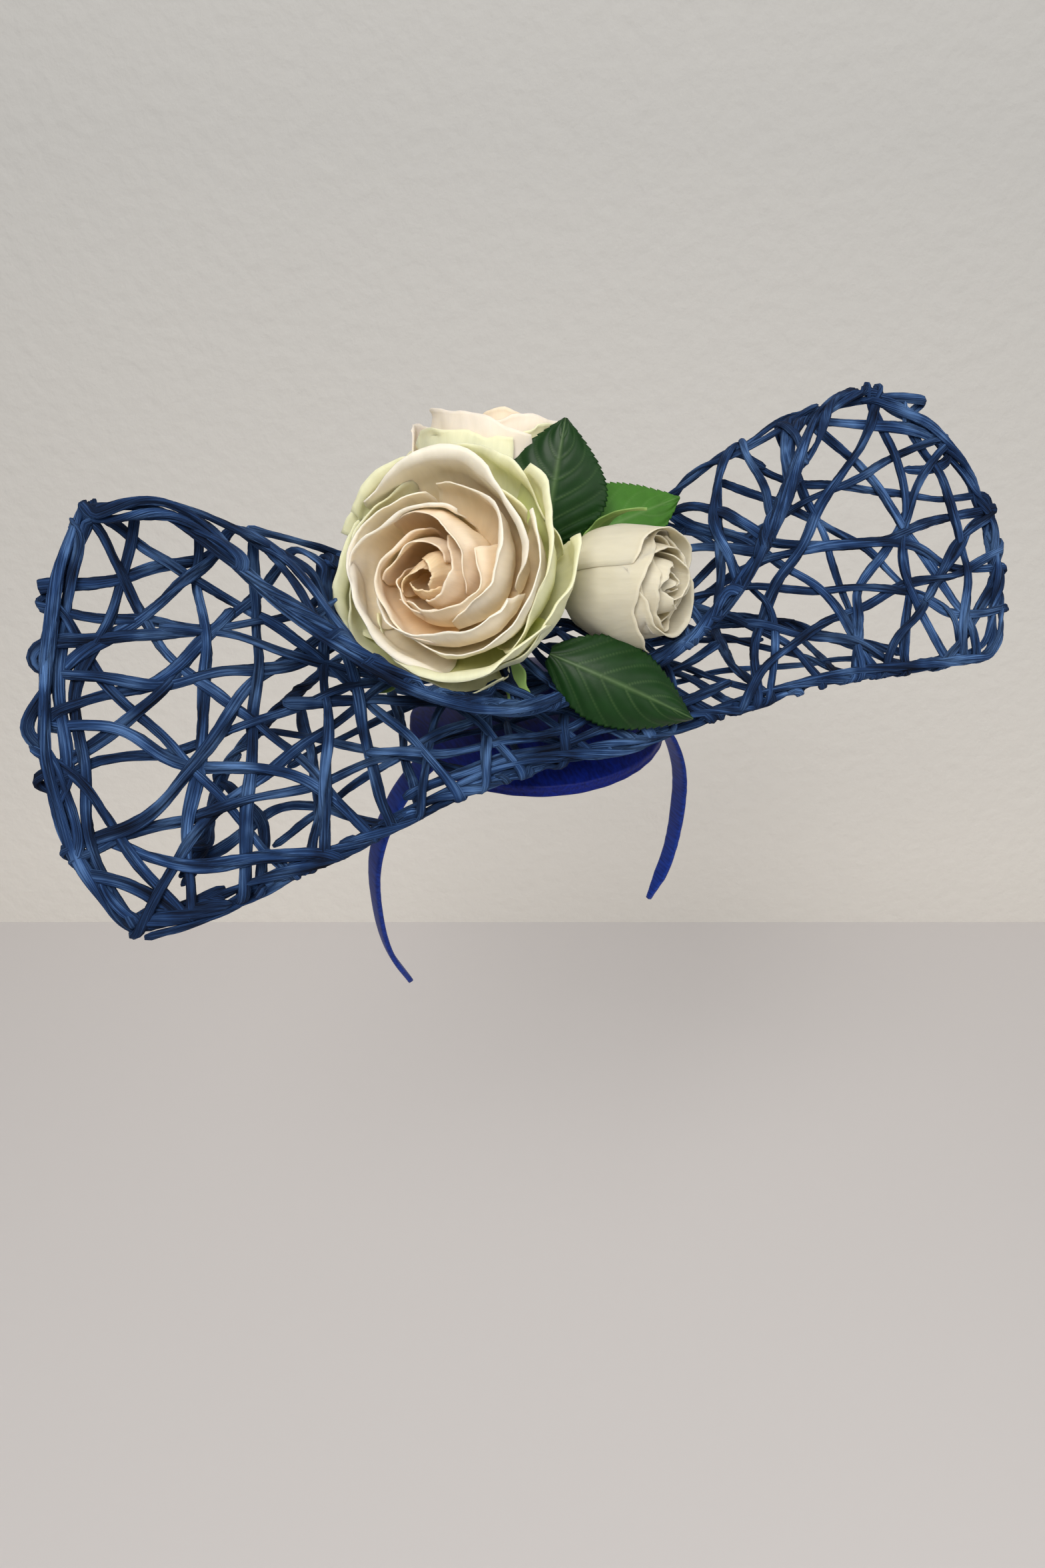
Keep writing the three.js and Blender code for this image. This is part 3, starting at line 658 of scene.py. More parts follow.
def clear_of_leaf(points, root, tip, width, bow, fold):
    """Moves points that lie in a leaf or just before it to behind it."""
    along, across, out = leaf_axes(root, tip)
    offset = points - np.array(root)
    length = np.linalg.norm(along)
    v = offset @ along / length ** 2
    u = offset @ across
    height = offset @ out
    half = np.array([leaf_half_width(width, min(max(share, 0), 1)) for share in v])
    over = (v > -0.04) & (v < 1.04) & (np.abs(u) < half + LEAF_SIDE_ROOM)
    surface = bow * np.sin(math.pi * np.clip(v, 0, 1)) + fold * (u / np.maximum(half, 1)) ** 2
    wanted = surface - CORD_ROOM
    move = np.where(over & (height > wanted) & (height < surface + LEAF_FRONT_ROOM), wanted - height, 0)
    return points + move[:, None] * out


def clear_of_flowers(points):
    for _, root, tip, width, bow, fold in leaf_rows:
        points = clear_of_leaf(points, root, tip, width, bow, fold)
    for matrix, radius, rings in (
        (rose_matrix, ROSE_RADIUS, rose_rings),
        (back_rose_matrix, BACK_ROSE_RADIUS, back_rose_rings),
        (bud_matrix, BUD_RADIUS, bud_rings),
    ):
        outer = rings[0]
        profile = bend_points((outer["root"], outer["bulge"], outer["tip"]), 30) * radius
        points = clear_of_bloom(points, matrix, profile)
    return points


# Charts of the cords: each row lists station and row of the points that a cord passes
left_chart = (
    ((-0.86, 1.0), (-0.83, 0.77), (-0.77, 0.58), (-0.67, 0.4), (-0.57, 0.12), (-0.54, 0.0)),
    ((-0.95, 0.8), (-0.9, 0.56), (-0.83, 0.38), (-0.77, 0.22), (-0.7, 0.0)),
    ((-1.04, 0.46), (-0.97, 0.28), (-0.94, 0.14), (-0.89, 0.0)),
    ((-0.66, 2.0), (-0.67, 1.4), (-0.69, 0.92), (-0.73, 0.64), (-0.79, 0.38), (-0.86, 0.12), (-0.88, 0.0)),
    ((-0.55, 2.0), (-0.57, 1.4), (-0.6, 0.82), (-0.66, 0.52), (-0.73, 0.22), (-0.79, 0.0)),
    ((-0.4, 2.0), (-0.43, 1.3), (-0.49, 0.66), (-0.57, 0.3), (-0.64, 0.0)),
    ((-0.96, 0.84), (-0.81, 0.84), (-0.66, 0.9), (-0.6, 1.2), (-0.5, 2.0)),
    ((-0.84, 1.0), (-0.8, 0.9), (-0.71, 0.82), (-0.61, 0.74), (-0.5, 0.56), (-0.42, 0.34), (-0.36, 0.0)),
    ((-0.97, 0.79), (-0.82, 0.72), (-0.72, 0.68), (-0.57, 0.74), (-0.48, 0.82), (-0.4, 1.1), (-0.3, 2.0)),
    ((-0.8, 0.7), (-0.72, 0.68), (-0.6, 0.62), (-0.42, 0.54), (-0.2, 0.46), (0.1, 0.3), (0.24, 0.0)),
    ((-0.73, 0.68), (-0.9, 0.7), (-1.0, 0.7), (-1.014, 0.685), (-1.01, 0.66), (-0.98, 0.64),
     (-0.94, 0.62), (-0.84, 0.56), (-0.72, 0.56), (-0.6, 0.58), (-0.4, 0.72), (-0.24, 1.0), (-0.18, 2.0)),
    ((-0.56, 1.4), (-0.66, 0.9), (-0.75, 0.8), (-0.85, 0.72), (-0.96, 0.64), (-1.04, 0.55),
     (-1.055, 0.52), (-1.035, 0.46), (-1.03, 0.34), (-1.02, 0.2)),
    ((-0.66, 0.74), (-0.74, 0.64), (-0.83, 0.56), (-0.95, 0.56), (-1.02, 0.545), (-1.035, 0.53),
     (-1.02, 0.51), (-0.97, 0.5), (-0.92, 0.48), (-0.84, 0.38), (-0.73, 0.3), (-0.63, 0.22), (-0.54, 0.0)),
    ((-1.03, 0.38), (-0.98, 0.4), (-0.83, 0.4), (-0.67, 0.42), (-0.42, 0.5), (-0.1, 0.62), (0.14, 1.0)),
    ((-1.05, 0.4), (-0.94, 0.46), (-0.82, 0.54), (-0.75, 0.64), (-0.59, 0.82), (-0.5, 0.98), (-0.44, 2.0)),
    ((-1.04, 0.22), (-0.9, 0.26), (-0.79, 0.36), (-0.63, 0.56), (-0.5, 0.68), (-0.34, 0.84), (-0.2, 1.3),
     (-0.06, 2.0)),
    ((-1.03, 0.19), (-0.9, 0.22), (-0.74, 0.22), (-0.49, 0.2), (-0.2, 0.3), (0.1, 0.5), (0.4, 0.8)),
    ((-1.0, 0.24), (-0.94, 0.18), (-0.84, 0.1), (-0.73, 0.06), (-0.62, 0.0)),
    ((-1.01, 0.14), (-0.94, 0.08), (-0.9, 0.0)),
    ((-0.97, 0.0), (-0.83, 0.18), (-0.66, 0.3), (-0.56, 0.36), (-0.36, 0.5), (-0.12, 0.7), (0.1, 1.2),
     (0.2, 2.0)),
    ((-0.79, 0.98), (-0.86, 0.78), (-0.95, 0.6), (-0.99, 0.36), (-1.01, 0.2), (-0.98, 0.02)),
    ((-0.88, 0.96), (-0.95, 0.74), (-1.0, 0.52), (-1.02, 0.34)),
    ((-0.62, 0.46), (-0.42, 0.42), (-0.2, 0.34), (-0.02, 0.14), (0.04, 0.0)),
    ((-0.3, 2.0), (-0.42, 1.1), (-0.46, 0.8), (-0.46, 0.5), (-0.5, 0.2), (-0.5, 0.0)),
)
right_chart = (
    ((0.84, 0.98), (0.9, 0.68), (0.84, 0.36), (0.76, 0.12), (0.72, 0.0)),
    ((0.6, 1.7), (0.73, 0.92), (0.81, 0.7), (0.87, 0.5), (0.92, 0.34), (0.93, 0.14), (0.92, 0.0)),
    ((0.56, 2.0), (0.62, 1.2), (0.66, 0.82), (0.67, 0.56), (0.66, 0.32), (0.63, 0.12), (0.6, 0.0)),
    ((0.3, 1.3), (0.4, 0.84), (0.54, 0.56), (0.6, 0.36), (0.62, 0.2), (0.64, 0.0)),
    ((0.87, 0.97), (0.83, 0.84), (0.74, 0.72), (0.64, 0.58), (0.48, 0.36), (0.4, 0.2), (0.34, 0.0)),
    ((1.04, 0.76), (0.98, 0.7), (0.88, 0.52), (0.82, 0.3), (0.84, 0.0)),
    ((0.44, 2.0), (0.54, 1.1), (0.66, 0.76), (0.77, 0.68), (0.95, 0.6), (1.1, 0.56), (1.15, 0.545),
     (1.15, 0.52), (1.07, 0.46), (0.95, 0.32), (0.84, 0.22)),
    ((0.24, 0.5), (0.42, 0.62), (0.6, 0.66), (0.72, 0.7), (0.87, 0.74), (0.98, 0.77), (1.04, 0.78)),
    ((0.2, 2.0), (0.32, 1.0), (0.51, 0.64), (0.66, 0.52), (0.84, 0.48), (1.0, 0.5), (1.14, 0.5)),
    ((0.5, 0.9), (0.6, 0.72), (0.68, 0.6), (0.77, 0.44), (0.83, 0.26), (0.87, 0.18), (0.97, 0.14),
     (1.05, 0.13)),
    ((0.2, 0.44), (0.4, 0.52), (0.55, 0.54), (0.69, 0.5), (0.85, 0.44), (0.96, 0.34), (1.1, 0.28)),
    ((0.1, 0.8), (0.3, 0.56), (0.47, 0.46), (0.6, 0.36), (0.73, 0.3), (0.86, 0.24), (0.9, 0.14), (0.89, 0.0)),
    ((0.9, 0.56), (0.79, 0.42), (0.69, 0.3), (0.66, 0.2), (0.58, 0.0)),
    ((0.3, 0.0), (0.4, 0.12), (0.52, 0.2), (0.67, 0.24), (0.83, 0.3), (0.99, 0.3), (1.11, 0.34)),
    ((0.66, 0.0), (0.7, 0.08), (0.82, 0.2), (0.91, 0.28), (1.0, 0.4), (1.13, 0.48)),
    ((0.93, 0.9), (1.01, 0.66), (1.02, 0.42), (0.98, 0.26), (0.9, 0.08), (0.88, 0.0)),
    ((1.12, 0.36), (1.07, 0.24), (0.95, 0.1), (0.82, 0.0)),
    ((0.5, 2.0), (0.62, 1.3), (0.76, 0.92), (0.92, 0.84), (1.02, 0.77), (1.06, 0.74), (1.06, 0.71),
     (1.0, 0.68), (0.92, 0.7)),
    ((0.0, 0.6), (0.2, 0.44), (0.37, 0.36), (0.52, 0.2), (0.62, 0.12), (0.72, 0.0)),
    ((0.2, 0.86), (0.34, 0.46), (0.47, 0.2), (0.5, 0.0)),
    ((0.36, 0.96), (0.45, 0.62), (0.48, 0.34), (0.45, 0.22), (0.37, 0.0)),
    ((0.28, 1.1), (0.37, 1.28), (0.39, 1.54), (0.42, 2.0)),
    ((0.6, 0.86), (0.5, 1.1), (0.42, 1.4), (0.36, 1.7), (0.27, 2.0)),
    ((0.2, 1.3), (0.32, 1.56), (0.36, 1.74), (0.4, 2.0)),
    ((0.56, 0.96), (0.48, 1.2), (0.4, 1.48), (0.33, 2.0)),
    ((0.7, 1.5), (0.57, 1.24), (0.48, 1.06), (0.36, 0.9), (0.2, 0.7)),
    ((0.52, 2.0), (0.57, 1.68), (0.64, 1.5), (0.72, 1.1)),
    ((0.99, 0.92), (0.9, 0.95), (0.78, 0.97), (0.62, 1.0), (0.44, 1.04), (0.2, 1.1)),
)
middle_chart = (
    ((-0.5, 0.24), (-0.3, 0.14), (-0.1, 0.12), (0.1, 0.2), (0.34, 0.3)),
    ((-0.44, 0.0), (-0.34, 0.3), (-0.16, 0.52), (0.06, 0.74), (0.22, 1.1)),
    ((-0.3, 0.0), (-0.2, 0.36), (-0.12, 0.8), (-0.14, 1.4), (-0.2, 2.0)),
    ((-0.22, 0.0), (-0.28, 0.4), (-0.36, 0.8), (-0.4, 1.3)),
    ((-0.12, 0.0), (-0.02, 0.3), (0.12, 0.56), (0.26, 0.78)),
    ((-0.06, 0.0), (-0.14, 0.3), (-0.2, 0.6), (-0.2, 1.0), (-0.08, 1.5), (0.0, 2.0)),
    ((0.08, 0.0), (0.02, 0.34), (-0.02, 0.7), (0.04, 1.2), (0.1, 2.0)),
    ((0.14, 0.0), (0.2, 0.3), (0.18, 0.7), (0.24, 1.2), (0.24, 2.0)),
    ((0.22, 0.0), (0.12, 0.24), (-0.04, 0.44), (-0.24, 0.6), (-0.4, 0.9)),
    ((-0.46, 1.2), (-0.28, 1.14), (-0.06, 1.2), (0.16, 1.16), (0.34, 1.2)),
    ((-0.5, 1.6), (-0.3, 1.5), (-0.1, 1.46), (0.1, 1.6), (0.26, 1.74)),
    ((-0.46, 0.06), (-0.26, 0.08), (-0.06, 0.05), (0.16, 0.08), (0.3, 0.1)),
    ((-0.6, 1.1), (-0.48, 1.04), (-0.3, 1.02), (-0.1, 1.0), (0.14, 1.02), (0.3, 1.0)),
    ((-0.74, 1.4), (-0.64, 1.3), (-0.52, 1.34), (-0.4, 1.5), (-0.26, 1.8), (-0.14, 2.0)),
)
under_chart = (
    ((-0.84, -1.0), (-0.66, -0.5), (-0.5, 0.0)),
    ((-0.74, -1.0), (-0.7, -0.5), (-0.76, 0.0)),
    ((-0.62, -1.0), (-0.46, -0.5), (-0.26, 0.0)),
    ((-0.5, -1.0), (-0.56, -0.5), (-0.66, 0.0)),
    ((-0.4, -1.0), (-0.22, -0.5), (-0.02, 0.0)),
    ((-0.26, -1.0), (-0.34, -0.5), (-0.44, 0.0)),
    ((-0.16, -1.0), (0.02, -0.5), (0.22, 0.0)),
    ((-0.02, -1.0), (-0.1, -0.5), (-0.2, 0.0)),
    ((0.1, -1.0), (0.26, -0.5), (0.44, 0.0)),
    ((0.22, -1.0), (0.14, -0.5), (0.08, 0.0)),
    ((0.36, -1.0), (0.3, -0.5), (0.3, 0.0)),
    ((0.44, -1.0), (0.54, -0.5), (0.66, 0.0)),
    ((0.58, -1.0), (0.46, -0.5), (0.38, 0.0)),
    ((0.72, -1.0), (0.66, -0.5), (0.56, 0.0)),
    ((0.8, -1.0), (0.78, -0.5), (0.82, 0.0)),
    ((-0.7, -0.3), (-0.4, -0.34), (0.0, -0.26), (0.4, -0.3), (0.72, -0.3)),
    ((-0.6, -0.67), (-0.3, -0.56), (0.0, -0.44), (0.3, -0.56), (0.6, -0.68)),
    ((-0.5, -0.9), (-0.2, -0.74), (0.0, -0.72), (0.2, -0.74), (0.5, -0.9)),
)


# A cord's waver: size and length of each wave, and the length over which it fades at the ends
cord_wavers = ((0.9, 14), (0.5, 6.5))
WAVER_FADE = 12


def wobbled(flat):
    """A flat path with the slight waver of a hand-laid cord."""
    run = run_along(flat)
    step = unit(np.gradient(flat, axis=0))
    side = np.column_stack([-step[:, 1], step[:, 0]])
    phases = rng.uniform(0, 2 * math.pi, 2)
    sway = sum(size * np.sin(run / length + phase) for (size, length), phase in zip(cord_wavers, phases))
    return flat + side * (sway * np.minimum(1, np.minimum(run, run[-1] - run) / WAVER_FADE))[:, None]


def lay_cords(charts, material):
    """One mesh piece for each chart, with all the cords passing over and under each other."""
    flat_paths = []
    for chart in charts.values():
        flat_paths += [wobbled(smooth_path(to_flat(row), 2.0)) for row in chart]
    meetings = crossings(flat_paths)
    number = 0
    for name, chart in charts.items():
        cords = CordMesh()
        for row in chart:
            path = flat_paths[number]
            points, ups = cord_path(path, meetings[number])
            points, ups = hooked(path, row, points, ups)
            width = mean_width * rng.uniform(0.84, 1.18)
            cords.add(points, ups, width, mean_thickness * rng.uniform(0.9, 1.1))
            number += 1
        cords.piece(name, material)


def edge_cords(material):
    """Cords that twine along the edges: a loop by rim, ends and lip, and a run along the under flap."""
    rim = [(station, 0) for station in np.linspace(-0.965, 0.955, 90)]
    right = [(float(end_station(1, row)), row) for row in np.linspace(0.04, 1.96, 60)]
    lip = [(station, 2) for station in np.linspace(0.815, -0.845, 90)]
    left = [(float(end_station(-1, row)), row) for row in np.linspace(1.96, 0.04, 60)]
    back = [(station, -1) for station in np.linspace(-0.88, 0.86, 90)]
    edges = {
        "outer_edge": (rim + right + lip + left + rim[:8], outer_strands),
        "back_edge": (back, back_strands),
    }
    for name, (chart, strands) in edges.items():
        cords = CordMesh()
        flat = resample(to_flat(chart), cord_pitch)
        centre = on_sheet(flat)
        reach = 5
        kernel = np.hanning(2 * reach + 1)
        kernel = kernel / kernel.sum()
        for i in range(3):
            centre[reach:-reach, i] = np.convolve(centre[:, i], kernel, mode="valid")
        _, round_it, normal = sheet_axes(flat)
        run = run_along(centre)
        for spread, start, pitch in strands:
            turn = start + run / pitch + 0.8 * np.sin(run / 37 + start)
            wide = spread * (1 + 0.3 * np.sin(run / 29 + 2 * start))
            radial = np.cos(turn)[:, None] * round_it + np.sin(turn)[:, None] * normal
            path = clear_of_flowers(centre + radial * wide[:, None])
            cords.add(path, radial, mean_width, mean_thickness)
        cords.piece(name, material)


# Materials

def new_material(name, roughness, specular=0.35):
    material = bpy.data.materials.new(name)
    material.use_nodes = True
    shader = material.node_tree.nodes["Principled BSDF"]
    shader.inputs["Roughness"].default_value = roughness
    shader.inputs["Specular IOR Level"].default_value = specular
    return material, material.node_tree.nodes, material.node_tree.links, shader


def ramp_node(nodes, links, source, stops):
    ramp = nodes.new("ShaderNodeValToRGB")
    elements = ramp.color_ramp.elements
    while len(elements) < len(stops):
        elements.new(0.5)
    for element, (place, colour) in zip(elements, stops):
        element.position = place
        element.color = (*colour, 1)
    links.new(source, ramp.inputs["Fac"])
    return ramp.outputs["Color"]


def bump_node(nodes, links, height, shader, strength, distance):
    bump = nodes.new("ShaderNodeBump")
    bump.inputs["Strength"].default_value = strength
    bump.inputs["Distance"].default_value = distance
    links.new(height, bump.inputs["Height"])
    links.new(bump.outputs["Normal"], shader.inputs["Normal"])


def noise_node(nodes, links, vector, scale, detail=3.0):
    texture = nodes.new("ShaderNodeTexNoise")
    texture.inputs["Scale"].default_value = scale
    texture.inputs["Detail"].default_value = detail
    links.new(vector, texture.inputs["Vector"])
    return texture.outputs["Fac"]


def scaled(nodes, links, source, scale):
    mapping = nodes.new("ShaderNodeMapping")
    mapping.inputs["Scale"].default_value = scale
    links.new(source, mapping.inputs["Vector"])
    return mapping.outputs["Vector"]


def tinted(nodes, links, shade, shader):
    """Sets the base colour to the points' tints times a shade."""
    tint = nodes.new("ShaderNodeVertexColor")
    tint.layer_name = "tint"
    mixed = nodes.new("ShaderNodeMix")
    mixed.data_type = "RGBA"
    mixed.blend_type = "MULTIPLY"
    mixed.inputs["Factor"].default_value = 1.0
    links.new(tint.outputs["Color"], mixed.inputs["A"])
    links.new(shade, mixed.inputs["B"])
    links.new(mixed.outputs["Result"], shader.inputs["Base Color"])


def run_uv(nodes):
    uv = nodes.new("ShaderNodeUVMap")
    uv.uv_map = "run"
    return uv.outputs["UV"]


def paper_material():
    material, nodes, links, shader = new_material("twisted_paper", 0.86, 0.16)
    coordinates = nodes.new("ShaderNodeTexCoord")
    fibres = scaled(nodes, links, run_uv(nodes), (0.4, 24.0, 1.0))
    creases = noise_node(nodes, links, fibres, 1.0, 4.0)
    broad = noise_node(nodes, links, coordinates.outputs["Object"], 55.0, 2.0)
    total = nodes.new("ShaderNodeMath")
    total.operation = "ADD"
    links.new(creases, total.inputs[0])
    links.new(broad, total.inputs[1])
    half = nodes.new("ShaderNodeMath")
    half.operation = "MULTIPLY"
    half.inputs[1].default_value = 0.5
    links.new(total.outputs[0], half.inputs[0])
    colour = ramp_node(nodes, links, half.outputs[0], (
        (0.36, linear(7, 17, 38)),
        (0.5, linear(31, 57, 98)),
        (0.64, linear(84, 118, 166)),
    ))
    # The points' tints bring in the cords' painted shade in the folds and painted light on the ridges
    tinted(nodes, links, colour, shader)
    bump_node(nodes, links, creases, shader, 1.0, 0.0012)
    return material


def satin_material(name, dark, light):
    material, nodes, links, shader = new_material(name, 0.5, 0.2)
    coordinates = nodes.new("ShaderNodeTexCoord")
    stretched = scaled(nodes, links, coordinates.outputs["Object"], (900.0, 90.0, 900.0))
    threads = noise_node(nodes, links, stretched, 1.0, 2.0)
    colour = ramp_node(nodes, links, threads, (
        (0.3, dark),
        (0.7, light),
    ))
    links.new(colour, shader.inputs["Base Color"])
    bump_node(nodes, links, threads, shader, 0.25, 0.0002)
    return material


def petal_material(name):
    material, nodes, links, shader = new_material(name, 0.62, 0.3)
    shader.inputs["Subsurface Weight"].default_value = 0.45
    shader.inputs["Subsurface Scale"].default_value = 0.003
    shader.inputs["Subsurface Radius"].default_value = (1.0, 0.85, 0.6)
    ribs = scaled(nodes, links, run_uv(nodes), (26.0, 2.2, 1.0))
    crinkle = noise_node(nodes, links, ribs, 1.0, 4.0)
    shade = ramp_node(nodes, links, crinkle, ((0.25, (0.9, 0.9, 0.9)), (0.7, (1.0, 1.0, 1.0))))
    tinted(nodes, links, shade, shader)
    bump_node(nodes, links, crinkle, shader, 0.35, 0.0006)
    return material


def leaf_material(name, roughness):
    material, nodes, links, shader = new_material(name, roughness, 0.2)
    coordinates = nodes.new("ShaderNodeTexCoord")
    mottle = noise_node(nodes, links, coordinates.outputs["Object"], 160.0, 4.0)
    shade = ramp_node(nodes, links, mottle, ((0.3, (0.8, 0.8, 0.8)), (0.7, (1.0, 1.0, 1.0))))
    tinted(nodes, links, shade, shader)
    bump_node(nodes, links, mottle, shader, 0.3, 0.0005)
    return material


def stem_material():
    material, nodes, links, shader = new_material("stem_wrap", 0.6, 0.3)
    coordinates = nodes.new("ShaderNodeTexCoord")
    mottle = noise_node(nodes, links, coordinates.outputs["Object"], 300.0, 4.0)
    colour = ramp_node(nodes, links, mottle, ((0.3, linear(58, 92, 44)), (0.7, linear(96, 134, 70))))
    links.new(colour, shader.inputs["Base Color"])
    bump_node(nodes, links, mottle, shader, 0.4, 0.0004)
    return material


paper = paper_material()
satin = satin_material("royal_satin", linear(5, 18, 82), linear(9, 32, 124))
band_satin = satin_material("royal_band_satin", linear(12, 36, 108), linear(24, 58, 152))
petal_cloth = petal_material("petal_cloth")
dark_leaf_cloth = leaf_material("dark_leaf_cloth", 0.42)
mid_leaf_cloth = leaf_material("mid_leaf_cloth", 0.5)
stem_wrap = stem_material()

PETAL_COLUMNS = 37
PETAL_ROWS = 28
PETAL_CLOTH = 0.45
# Waves of a petal: size and number of the rim's nicks, then of the bends across it
rim_nicks = ((0.02, 5), (0.009, 13), (0.006, 29))
petal_waves = ((1.7, 3.1), (0.95, 7.3))
PETAL_SHOULDER = 0.16
POINT_WIDTH = 0.22
# Size and length of the uneven bends that neighbouring petals share
crumples = ((2.2, 19), (0.8, 7))


def petal(radius, ring, position, seed):
    """Points and tints of one cupped petal with a rolled rim, before it is thickened."""
    draw = np.random.default_rng(seed)
    middle = (position + ring["turn"]) * 2 * math.pi / ring["count"] + draw.uniform(-0.2, 0.2)
    spread = math.pi / ring["count"] * ring["overlap"] * draw.uniform(0.92, 1.08)
    profile = bend_points((ring["root"], ring["bulge"], ring["tip"]), 40) * radius
    roll = ring["roll"] * draw.uniform(0.8, 1.15)
    roll_turn = math.radians(ring["roll_turn"])
    shift = np.array(ring.get("shift", (0, 0)))
    lean = draw.uniform(-0.07, 0.07)
    tall = draw.uniform(0.94, 1.03)
    point_out = draw.uniform(-0.01, 0.08)
    shade = draw.uniform(0.95, 1.0)
    phases = draw.uniform(0, 2 * math.pi, 8)
    points = np.zeros((PETAL_ROWS, PETAL_COLUMNS, 3))
    tints = np.zeros((PETAL_ROWS, PETAL_COLUMNS, 3))
    slope = unit(profile[-1] - profile[-4])
    outward = np.array((slope[1], -slope[0]))
    run = run_along(profile)
    for column, u in enumerate(np.linspace(-1, 1, PETAL_COLUMNS)):
        ragged = sum(size * math.sin(times * u + phase) for (size, times), phase in zip(rim_nicks, phases))
        point = point_out * math.exp(-((u / POINT_WIDTH) ** 2))
        body = run[-1] * (tall - PETAL_SHOULDER * abs(u) ** 2.4 + point + ragged + lean * u)
        curl = 0.6 + 0.5 * math.sin(2.2 * u + phases[3]) + 0.22 * math.sin(5.5 * u + phases[4])
        arc = roll * roll_turn * max(curl, 0.12)
        edge = np.array([np.interp(body, run, profile[:, i]) for i in range(2)])
        for row, v in enumerate(np.linspace(0, 1, PETAL_ROWS) ** 0.85):
            s = v * (body + arc)
            if s <= body:
                x, z = (np.interp(s, run, profile[:, i]) for i in range(2))
            else:
                angle = (s - body) / roll
                x, z = edge + slope * roll * math.sin(angle) + outward * roll * (1 - math.cos(angle))
            lap = ring["lap"] * u * min(1, 1.6 * v)
            wave = sum(size * math.sin(times * u + phase)
                       for (size, times), phase in zip(petal_waves, phases[5:])) * v ** 2
            x = x + lap + wave * min(1, radius * ring["tip"][0] / 16)
            angle = middle + u * spread * (1 - 0.1 * v * v)
            points[row, column] = (x * math.cos(angle) + shift[0] * v, x * math.sin(angle) + shift[1] * v, z)
            rim = min(1, max(0.0, (v - 0.5) / 0.35))
            deep = max(0, 1 - v / 0.55)
            body_tint = (1 - rim) * np.array(ring["inner"]) + rim * np.array(ring["rim"])
            tints[row, column] = shade * ((1 - deep) * body_tint + deep * np.array(ring["deep"]))
    return crumpled(points, ring["bend"]), tints


def crumpled(points, size):
    """Slight uneven bends, the same for petals that lie together."""
    flat = points.reshape(-1, 3)
    (broad, far), (fine, near) = crumples
    moved = [Vector(p) + broad * size * noise.noise_vector(Vector(p) / far)
             + fine * size * noise.noise_vector(Vector(p) / near) for p in flat]
    return np.array(moved).reshape(points.shape)


def sheet_mesh(points, cloth):
    """A closed thin body round a grid of points."""
    rows, columns, _ = points.shape
    along = np.gradient(points, axis=1)
    up = np.gradient(points, axis=0)
    normal = unit(np.cross(along, up))
    front = points + normal * cloth / 2
    back = points - normal * cloth / 2
    count = rows * columns
    faces = grid_faces(rows, columns)
    faces += [tuple(count + i for i in reversed(face)) for face in grid_faces(rows, columns)]
    border = [c for c in range(columns - 1)]
    border += [r * columns + columns - 1 for r in range(rows - 1)]
    border += [(rows - 1) * columns + c for c in range(columns - 1, 0, -1)]
    border += [r * columns for r in range(rows - 1, 0, -1)]
    for start, end in zip(border, border[1:] + border[:1]):
        faces.append((start, start + count, end + count, end))
    share = np.stack(np.meshgrid(np.linspace(0, 1, columns), np.linspace(0, 1, rows)), axis=-1)
    places = np.concatenate([share.reshape(-1, 2)] * 2)
    uvs = [places[i] for face in faces for i in face]
    return np.concatenate([front.reshape(-1, 3), back.reshape(-1, 3)]), faces, uvs


def bloom(name, matrix, radius, rings, nodes_replaced):
    """All the petals of a flower as one piece."""
    points, faces, uvs, tints = [], [], [], []
    count = 0
    seed = 100 * len(name)
    for ring in rings:
        for position in range(ring["count"]):
            seed += 1
            grid, colours = petal(radius, ring, position, seed)
            body, body_faces, body_uvs = sheet_mesh(grid, PETAL_CLOTH)
            points.append(body)
            faces += [tuple(count + i for i in face) for face in body_faces]
            uvs += body_uvs
            tints += [colours.reshape(-1, 3)] * 2
            count += len(body)
    places = np.concatenate(points)
    turned = places @ np.array(matrix.to_3x3()).T + np.array(matrix.translation)
    piece = make_piece(name, turned, faces, uvs, np.concatenate(tints))
    piece.data.materials.append(petal_cloth)
    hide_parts(*nodes_replaced)


def petal_nodes(name, count):
    return [f"{name}_core"] + [f"{name}_petal_{i + 1}" for i in range(count)]


bloom("rose_bloom", rose_matrix, ROSE_RADIUS, rose_rings, petal_nodes("rose", 12))
bloom("back_rose_bloom", back_rose_matrix, BACK_ROSE_RADIUS, back_rose_rings,
      petal_nodes("back_rose", 9))
bloom("bud_bloom", bud_matrix, BUD_RADIUS, bud_rings, petal_nodes("bud", 4))


lay_cords({
    "left_lattice": left_chart,
    "right_lattice": right_chart,
    "middle_lattice": middle_chart,
    "under_lattice": under_chart,
}, paper)
edge_cords(paper)


# Leaves

LEAF_DARK = linear(24, 56, 22)
LEAF_MID = linear(62, 112, 36)
VEIN = linear(120, 150, 96)
LEAF_CLOTH = 0.5
LEAF_TEETH = 24
VEIN_PAIRS = 6


